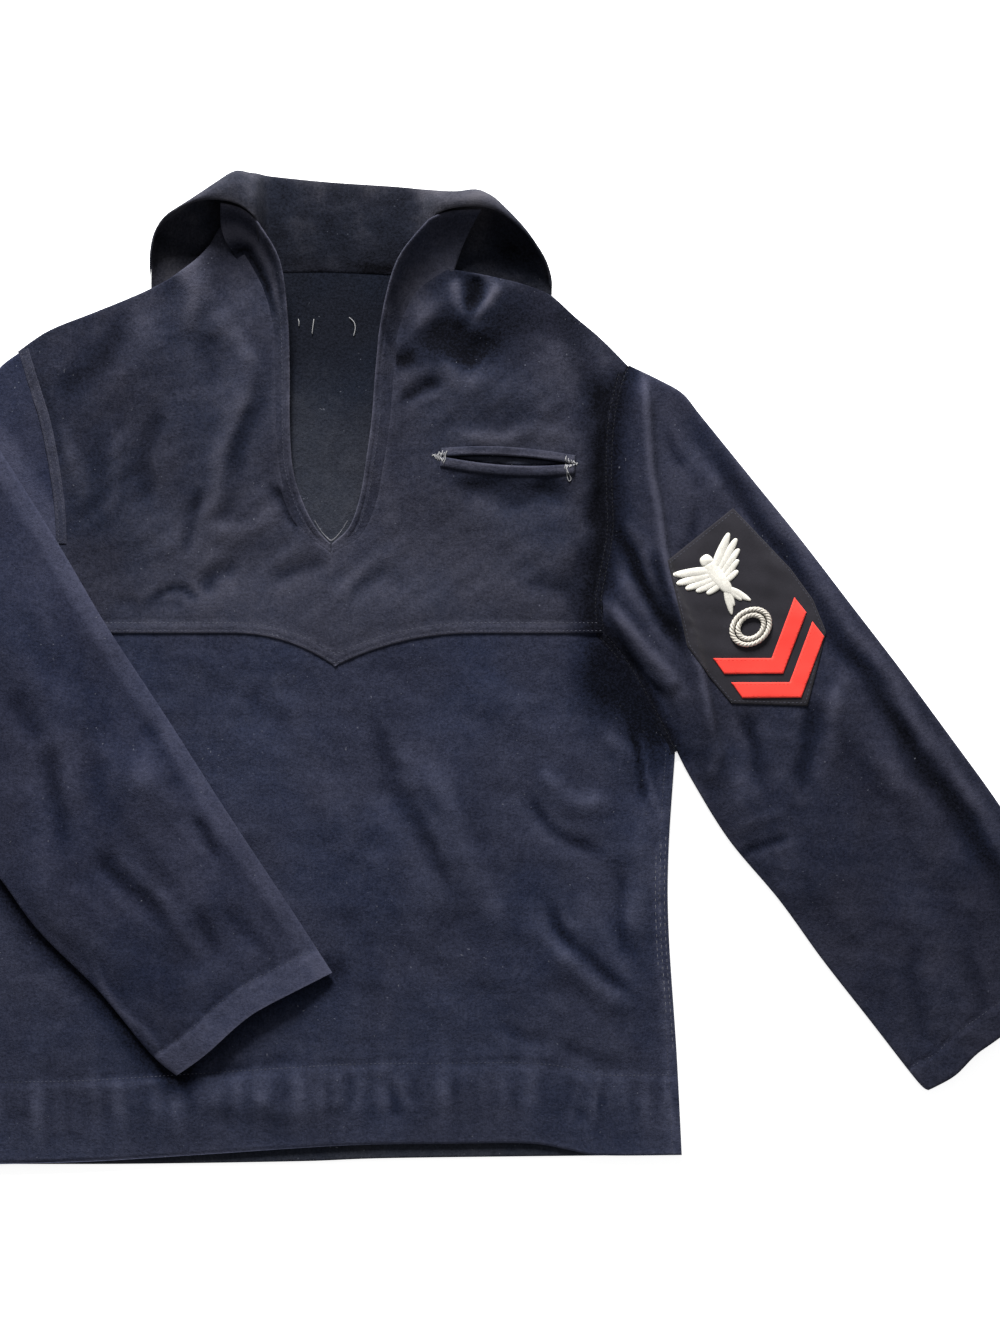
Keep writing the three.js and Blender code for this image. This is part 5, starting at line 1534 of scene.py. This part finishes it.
def swept(name, path, radius, closed, skin, sides=8):
    """A round strand along points in millimetres, closed on itself or with domed ends."""
    p = np.array(path, float)
    count = len(p)
    ahead = np.roll(p, -1, axis=0) - np.roll(p, 1, axis=0)
    if not closed:
        ahead[0], ahead[-1] = p[1] - p[0], p[-1] - p[-2]
    ahead /= np.maximum(np.linalg.norm(ahead, axis=1, keepdims=True), 1e-9)
    side = np.cross(ahead, (0, 0, 1.0))
    side /= np.maximum(np.linalg.norm(side, axis=1, keepdims=True), 1e-9)
    up = np.cross(side, ahead)
    radii = np.full(count, radius, float)
    if not closed:
        radii[[0, -1]] *= 0.4
    angle = np.linspace(0, 2 * np.pi, sides, endpoint=False)
    around = side[:, None] * np.cos(angle)[None, :, None] + up[:, None] * np.sin(angle)[None, :, None]
    ring = p[:, None] + radii[:, None, None] * around
    last = count if closed else count - 1
    faces = []
    for k in range(last):
        for a in range(sides):
            b = (a + 1) % sides
            n = (k + 1) % count
            faces.append([k * sides + a, n * sides + a, n * sides + b, k * sides + b])
    if not closed:
        faces.append(list(range(sides)))
        faces.append([(count - 1) * sides + a for a in reversed(range(sides))])
    return mesh_object(name, ring.reshape(-1, 3), faces, skin)


# Sewing


def stitch_tree():
    """Geometry Nodes that lay a row of stitches along each line of the mesh."""
    tree = bpy.data.node_groups.new("stitch_row", "GeometryNodeTree")
    face = tree.interface
    face.new_socket("Geometry", in_out="OUTPUT", socket_type="NodeSocketGeometry")
    face.new_socket("Geometry", in_out="INPUT", socket_type="NodeSocketGeometry")
    for name, default in (("Pitch", 0.003), ("Length", 0.0024), ("Thickness", 0.0006), ("Unevenness", 0.2)):
        face.new_socket(name, in_out="INPUT", socket_type="NodeSocketFloat").default_value = default
    face.new_socket("Seed", in_out="INPUT", socket_type="NodeSocketInt")
    face.new_socket("Thread", in_out="INPUT", socket_type="NodeSocketMaterial")

    def add(kind, settings=None, **links):
        node = tree.nodes.new(kind)
        for key, value in (settings or {}).items():
            setattr(node, key, value)
        for key, value in links.items():
            socket = node.inputs[key.replace("_", " ")]
            if isinstance(value, bpy.types.NodeSocket):
                tree.links.new(value, socket)
            else:
                socket.default_value = value
        return node

    given = add("NodeGroupInput")
    line = add("GeometryNodeMeshToCurve", None, Mesh=given.outputs["Geometry"])
    steps = add("GeometryNodeResampleCurve", {"mode": "LENGTH"}, Curve=line.outputs[0], Length=given.outputs["Pitch"])
    across = given.outputs["Thickness"]
    size = add("ShaderNodeCombineXYZ", None, X=given.outputs["Length"], Y=across, Z=across)
    bead = add("GeometryNodeMeshUVSphere", None, Segments=6, Rings=5, Radius=0.5)
    stitch = add("GeometryNodeTransform", None, Geometry=bead.outputs[0], Scale=size.outputs[0])
    tangent = add("GeometryNodeInputTangent")
    turn = add("FunctionNodeAlignRotationToVector", {"axis": "X"}, Vector=tangent.outputs[0])
    spread = add("ShaderNodeMath", {"operation": "SUBTRACT"})
    spread.inputs[0].default_value = 1.0
    tree.links.new(given.outputs["Unevenness"], spread.inputs[1])
    scale = add("FunctionNodeRandomValue", {"data_type": "FLOAT"})
    tree.links.new(spread.outputs[0], scale.inputs[2])
    scale.inputs[3].default_value = 1.0
    tree.links.new(given.outputs["Seed"], scale.inputs["Seed"])
    row = add(
        "GeometryNodeInstanceOnPoints", None, Points=steps.outputs[0], Instance=stitch.outputs[0],
        Rotation=turn.outputs[0], Scale=scale.outputs[1],
    )
    real = add("GeometryNodeRealizeInstances", None, Geometry=row.outputs[0])
    smooth_faces = add("GeometryNodeSetShadeSmooth", None, Geometry=real.outputs[0])
    painted = add("GeometryNodeSetMaterial", None, Geometry=smooth_faces.outputs[0], Material=given.outputs["Thread"])
    end = add("NodeGroupOutput")
    tree.links.new(painted.outputs[0], end.inputs[0])
    return tree


def laid(line, height, sink=0.15, count=None):
    """A plan line laid on a surface, as points in millimetres; the stretches over nothing are left out."""
    count = count or max(12, int(length_of(line) / 2.5))
    pieces, current = [], []
    for x, y in along(line, np.linspace(0, 1, count)):
        z = height(x, y)
        if z is None:
            if len(current) > 2:
                pieces.append(current)
            current = []
        else:
            current.append((x, y, z - sink))
    return pieces + ([current] if len(current) > 2 else [])


def offset_line(line, gap):
    """A line moved sideways on the plan, to its left for a positive gap."""
    return line + left_of(line) * gap


def sew(name, lines, sizes, thread="sewing_thread", pitch=None):
    """Stitches along lines of points in millimetres, as one plain mesh."""
    points, edges = [], []
    for line in lines:
        start = len(points)
        points += [tuple(v * MM for v in p) for p in line]
        edges += [(k, k + 1) for k in range(start, len(points) - 1)]
    mesh = bpy.data.meshes.new(name)
    mesh.from_pydata(points, edges, [])
    guide = bpy.data.objects.new(name, mesh)
    bpy.context.scene.collection.objects.link(guide)
    modifier = guide.modifiers.new("stitches", "NODES")
    modifier.node_group = bpy.data.node_groups.get("stitch_row") or stitch_tree()
    sockets = {s.name: s.identifier for s in modifier.node_group.interface.items_tree if s.in_out == "INPUT"}
    pitch = pitch or sizes.pitch
    values = {
        "Pitch": pitch, "Length": pitch * 0.82, "Thickness": sizes.thread, "Unevenness": 0.15, "Seed": sizes.seed,
        "Thread": material(thread),
    }
    for key, value in values.items():
        modifier[sockets[key]] = value
    bpy.context.view_layer.update()
    made = bpy.data.meshes.new_from_object(guide.evaluated_get(bpy.context.evaluated_depsgraph_get()))
    guide.modifiers.clear()
    guide.data = made
    made.name = name
    settle(guide, ())
    return guide


def band(name, line, width, surfaces, rise, pale):
    """A felled seam: a flat raised strip of cloth along a plan line, laid over the pieces that it joins."""
    height = surface_of(*surfaces)
    steps = along(line, stops(length_of(line), 3.2))
    left = left_of(steps)
    sides = []
    for reach in (-width / 2, width / 2):
        levels = [height(*(p + n * reach)) for p, n in zip(steps, left)]
        known = [k for k, z in enumerate(levels) if z is not None]
        sides.append(np.interp(range(len(levels)), known, [levels[k] for k in known]))
    wave = 0.12 * ripple(steps[:, 0], steps[:, 1], 11, 81)
    grid, under = [], []
    for place in np.array([-1, -0.93, -0.8, -0.62, -0.4, -0.15, 0.15, 0.4, 0.62, 0.8, 0.93, 1]) * width / 2:
        gap = width / 2 - abs(place)
        base = lerp(*sides, place / width + 0.5)
        crown = rise * float(rounded(np.array(gap), 1.1)) - 0.3 * bell(gap - 1.5, 0.6)
        plan = steps + left * place
        grid.append(np.column_stack([plan, base + crown + wave]))
        under.append(np.column_stack([plan, base - 0.35]))
    piece = shell(name, [(np.array(grid), np.array(under))], wool("yoke"))
    gap = nearest(plan_of(piece)[0], line)[0]
    # A positive pale gives a seam worn pale at its edges; a negative one darkens the whole strip as painted shade
    store_painted_light_and_wear(piece, pale + 2.5 * max(pale, 0) * fade(np.abs(gap - width / 2), 0.8))
    return settle(piece)


def make_seams(sizes):
    """The felled seams of both armholes and the rows of stitches on every seam and hem."""
    right = offset_line(joined(ARMHOLE_RIGHT, UNDERARM_RIGHT), -1.5)
    left = offset_line(np.array([p for p in joined(ARMHOLE_LEFT, UNDERARM_LEFT) if p[1] > 92]), 4.3)
    # The right strip lies in the valley by the armhole and is darkened as painted shade
    band("armhole_seam_right", right, 7.0, ["yoke_cloth", "front_cloth", "sleeve_right_cloth"], 0.05, -0.9)
    band("armhole_seam_left", left, 8.0, ["yoke_cloth"], 0.9, 0.12)
    for side, line, thread in (("right", right, "dark_thread"), ("left", left, "sewing_thread")):
        height = surface_of(f"armhole_seam_{side}")
        rows = laid(offset_line(line, -2.1), height) + laid(offset_line(line, 2.1), height)
        sew(f"stitches_armhole_{side}", rows, sizes, thread)
    yoke_top = surface_of("yoke_cloth")
    x = np.linspace(ARMHOLE_LEFT[-1][0] + 2, ARMHOLE_RIGHT[-1][0] - 2, 200)
    edge = np.stack([x, yoke_edge(x)], axis=-1)
    sew("stitches_yoke", laid(offset_line(edge, 8.0), yoke_top) + laid(offset_line(edge, 2.0), yoke_top), sizes)
    rows = []
    for side, rim, gap, end in (("left", RIM_LEFT, ARM_BAND, ARM_BAND_TOP), ("right", RIM_RIGHT, -ARM_BAND, 190)):
        line = np.array([p for p in offset_line(spline(rim), gap) if 100 < p[1] < end])
        if side == "left":
            line = np.concatenate([line, [[RIM_LEFT[6][0] - 0.8, ARM_BAND_TOP]]])
        rows += laid(line, surface_of(f"lapel_cloth_{side}"))
    sew("stitches_neck", rows, sizes)
    front_top = surface_of("front_cloth")
    right_side = spline(SIDE_RIGHT)
    rows = laid(offset_line(spline(FRONT_HEM), sizes.hem / MM), front_top)
    sew("stitches_hem", rows + laid(offset_line(right_side, -7), front_top), sizes)
    rows = []
    for gap, low, high in ((2.6, -290, -130), (6.0, -264, -138), (9.4, -226, -146)):
        worn_part = np.array([p for p in right_side if low < p[1] < high])
        rows += laid(offset_line(worn_part, -gap), front_top)
    sew("stitches_side", rows, sizes, "worn_edge", sizes.pitch * 1.7)
    rows = []
    for side, cuff in (("right", SLEEVE_R_CUFF), ("left", SLEEVE_L_CUFF)):
        rows += laid(offset_line(spline(cuff), -sizes.cuff / MM), surface_of(f"sleeve_{side}_cloth"))
    sew("stitches_cuffs", rows, sizes)
    outline = outline_points(BADGE_OUTLINE, 2.0)
    centre = outline.mean(axis=0)
    ring = [badge_point(*(centre + (p - centre) * 0.965)) for p in np.vstack([outline, outline[:1]])]
    sew("stitches_badge", laid(np.array(ring), surface_of("badge_ground"), 0.1), sizes)
    rows, inset = [], 1.6
    arm = CHEVRON["arm"] - inset
    for which, level in CHEVRON_LEVELS.items():
        ground = surface_of(f"chevron_{which}_felt")
        tip = level + CHEVRON["slope"] * arm
        for drop in (inset, CHEVRON["width"] - inset):
            line = [badge_point(u, v - drop) for u, v in ((-arm, tip), (-3, level), (arm, tip))]
            rows += laid(np.array(line), ground, 0.1)
    sew("stitches_chevrons", rows, sizes, "red_felt")


def pocket_tacks(sizes, pale):
    """An arrowhead of uneven stitches at each end of the pocket, and a loop of thread that has come out of one."""
    height = surface_of("yoke_cloth", "welt_upper", "welt_lower")
    rng = np.random.default_rng(sizes.seed)

    def on_yoke(rows, rise):
        plan = [on_plan(POCKET, u, v) for u, v in rows]
        return [(x, y, height(x, y, 8) + rise) for x, y in plan]

    threads = []
    for side, (tip, base, reach) in TACKS.items():
        for share in np.linspace(0, 1, 10):
            half = lerp(0.7, reach, share) * rng.uniform(0.7, 1.1)
            centre, lean = rng.uniform(-0.6, 0.6), rng.uniform(-1.2, 1.2)
            rows = []
            for v in np.linspace(-1, 1, 7):
                u = lerp(tip, base, share) + lean * v + 0.35 * math.sin(5 * v + 9 * share)
                rows.append((u, centre + half * v))
            name = f"tack_{side}_{len(threads)}"
            threads.append(swept(name, on_yoke(rows, 0.2), rng.uniform(0.28, 0.45), False, pale, 6))
    loop = spline([[44, -3], [46.5, -7.5], [48.6, -11.5], [47, -13], [45.4, -9.5], [45.2, -5]], 6)
    threads.append(swept("tack_loop", on_yoke(loop, 0.3), 0.3, False, pale, 6))
    settle(join(threads, "pocket_tacks"), ())


def neck_edge():
    """The worn edge at the foot of the V."""
    line = spline([[-13.5, 109.5], [-8.6, 101.6], [-4.4, 96.8], [-1.2, 94.4], [2.4, 96.6], [6.4, 101.4], [11.6, 109.6]])
    height = surface_of("lapel_cloth_left", "lapel_cloth_right", "yoke_cloth", "back_cloth")
    levels = [max(height(x, y, 6.0), 6.0) for x, y in line]
    level = np.convolve(np.pad(levels, 6, mode="edge"), np.ones(13) / 13, mode="valid")
    path = [(x, y, z + 0.15) for (x, y), z in zip(line, level)][::3]
    share = np.linspace(-1, 1, len(path))
    radii = (0.22 + 0.34 * bell(share, 0.4)) * (1 + 0.22 * ripple(share * 60, share * 0, 9, 91))
    settle(swept("neck_edge_thread", path, radii, False, material("worn_edge"), 8), ())


LOOSE_THREADS = (
    [[-26, 262.5], [-25.4, 260], [-25.6, 257]],
    [[-14.2, 262.5], [-15, 256], [-15.6, 251]],
    [[12.6, 263.8], [16.3, 260], [17.2, 255], [15.8, 249.5]],
)


def make_tacks(sizes):
    """The tacks at the pocket's ends, the worn edge at the foot of the V and loose threads inside the neck."""
    pale = material("pale_thread")
    pocket_tacks(sizes, pale)
    neck_edge()
    height = surface_of("back_cloth")
    loose = []
    for k, rows in enumerate(LOOSE_THREADS):
        line = spline(rows, 8)
        rise = [0.5 + 0.8 * math.sin(math.pi * i / len(line)) for i in range(len(line))]
        path = [(x, y, height(x, y, 4) + up) for (x, y), up in zip(line, rise)]
        loose.append(swept(f"loose_{k}", path, 0.28, False, pale, 6))
    settle(join(loose, "loose_threads"), ())


def make_stage(colours):
    """A pale floor, one large soft light with a weaker one beside it, and the camera straight above."""
    finish = Shader("floor").finish(
        Base_Color=opaque(colours.floor), Roughness=0.9, Specular_IOR_Level=0.1, Emission_Color=(1, 1, 1, 1),
        Emission_Strength=0.7,
    )
    far = 12000
    corners = [(x * far, y * far, -0.6) for x, y in ((-1, -1), (1, -1), (1, 1), (-1, 1))]
    mesh_object("floor", corners, [[0, 1, 2, 3]], finish)
    scene = bpy.context.scene
    scene.world = bpy.data.worlds.new("studio")
    scene.world.use_nodes = True
    background = scene.world.node_tree.nodes["Background"].inputs
    background["Color"].default_value = (1, 1, 1, 1)
    background["Strength"].default_value = 0.23
    for name, place, extent, power in (("key", (-0.3, 2.5, 1.15), 0.75, 200), ("fill", (1.2, -1.2, 2.2), 1.8, 9)):
        lamp = bpy.data.lights.new(name, "AREA")
        lamp.energy = power
        lamp.size = extent
        light = bpy.data.objects.new(name, lamp)
        light.location = place
        light.rotation_euler = (Vector((0.13, 0, 0)) - Vector(place)).to_track_quat("-Z", "Y").to_euler()
        scene.collection.objects.link(light)
    frame_height = 1.0108
    camera = bpy.data.cameras.new("camera")
    camera.lens = 85.0
    camera.sensor_width = 36.0
    view = bpy.data.objects.new("camera", camera)
    view.location = (0.127, 0.0, frame_height * camera.lens / camera.sensor_width)
    scene.collection.objects.link(view)
    scene.camera = view
    scene.view_settings.view_transform = "Standard"


def operator(name, label, text, build, group="jumper_sizes"):
    """An operator that makes one group of pieces from one group of settings."""

    def execute(self, context):
        build(getattr(context.scene, group))
        return {"FINISHED"}

    members = {
        "bl_idname": f"jumper.{name}", "bl_label": label, "bl_options": {"REGISTER", "UNDO"}, "__doc__": text,
        "execute": execute,
    }
    return type(f"JUMPER_OT_{name}", (bpy.types.Operator,), members)


OPERATORS = [
    operator("back", "Back", "Makes the back panel", make_back),
    operator("front", "Front", "Makes the lower front", make_front),
    operator("yoke", "Yoke", "Makes the front yoke", make_yoke),
    operator("pocket", "Pocket", "Makes the pocket's welts and lining", make_pocket),
    operator("collar", "Collar", "Makes the collar and its lapels", make_collar),
    operator("sleeve_right", "Right sleeve", "Makes the spread sleeve", make_sleeve_right),
    operator("sleeve_left", "Left sleeve", "Makes the folded sleeve", make_sleeve_left),
    operator("badge", "Badge", "Makes the badge's ground, chevrons, swallow and ring", make_badge),
    operator("seams", "Seams", "Sews the seams and hems", make_seams),
    operator("tacks", "Tacks", "Makes the tacks and the loose threads", make_tacks),
    operator("stage", "Stage", "Makes the floor, the lights and the camera", make_stage, "jumper_colours"),
]


class JUMPER_PT_panel(bpy.types.Panel):
    """Lists the jumper's pieces in the sidebar."""

    bl_label = "Sailor jumper"
    bl_idname = "JUMPER_PT_panel"
    bl_space_type = "VIEW_3D"
    bl_region_type = "UI"
    bl_category = "Jumper"

    def draw(self, context):
        for group in (context.scene.jumper_sizes, context.scene.jumper_colours):
            for name in group.__annotations__:
                self.layout.prop(group, name)
        for item in OPERATORS:
            self.layout.operator(item.bl_idname)


CLASSES = [JumperSizes, JumperColours, *OPERATORS, JUMPER_PT_panel]


def register():
    """Adds the jumper's settings, operators and panel to Blender."""
    for item in CLASSES:
        bpy.utils.register_class(item)
    bpy.types.Scene.jumper_sizes = PointerProperty(type=JumperSizes)
    bpy.types.Scene.jumper_colours = PointerProperty(type=JumperColours)


def unregister():
    """Takes them out again."""
    del bpy.types.Scene.jumper_colours
    del bpy.types.Scene.jumper_sizes
    for item in reversed(CLASSES):
        bpy.utils.unregister_class(item)


def main():
    """Builds the jumper and its stage, and writes down their sizes."""
    register()
    for item in OPERATORS:
        getattr(bpy.ops.jumper, item.bl_idname.split(".")[1])()


if __name__ == "__main__":
    main()
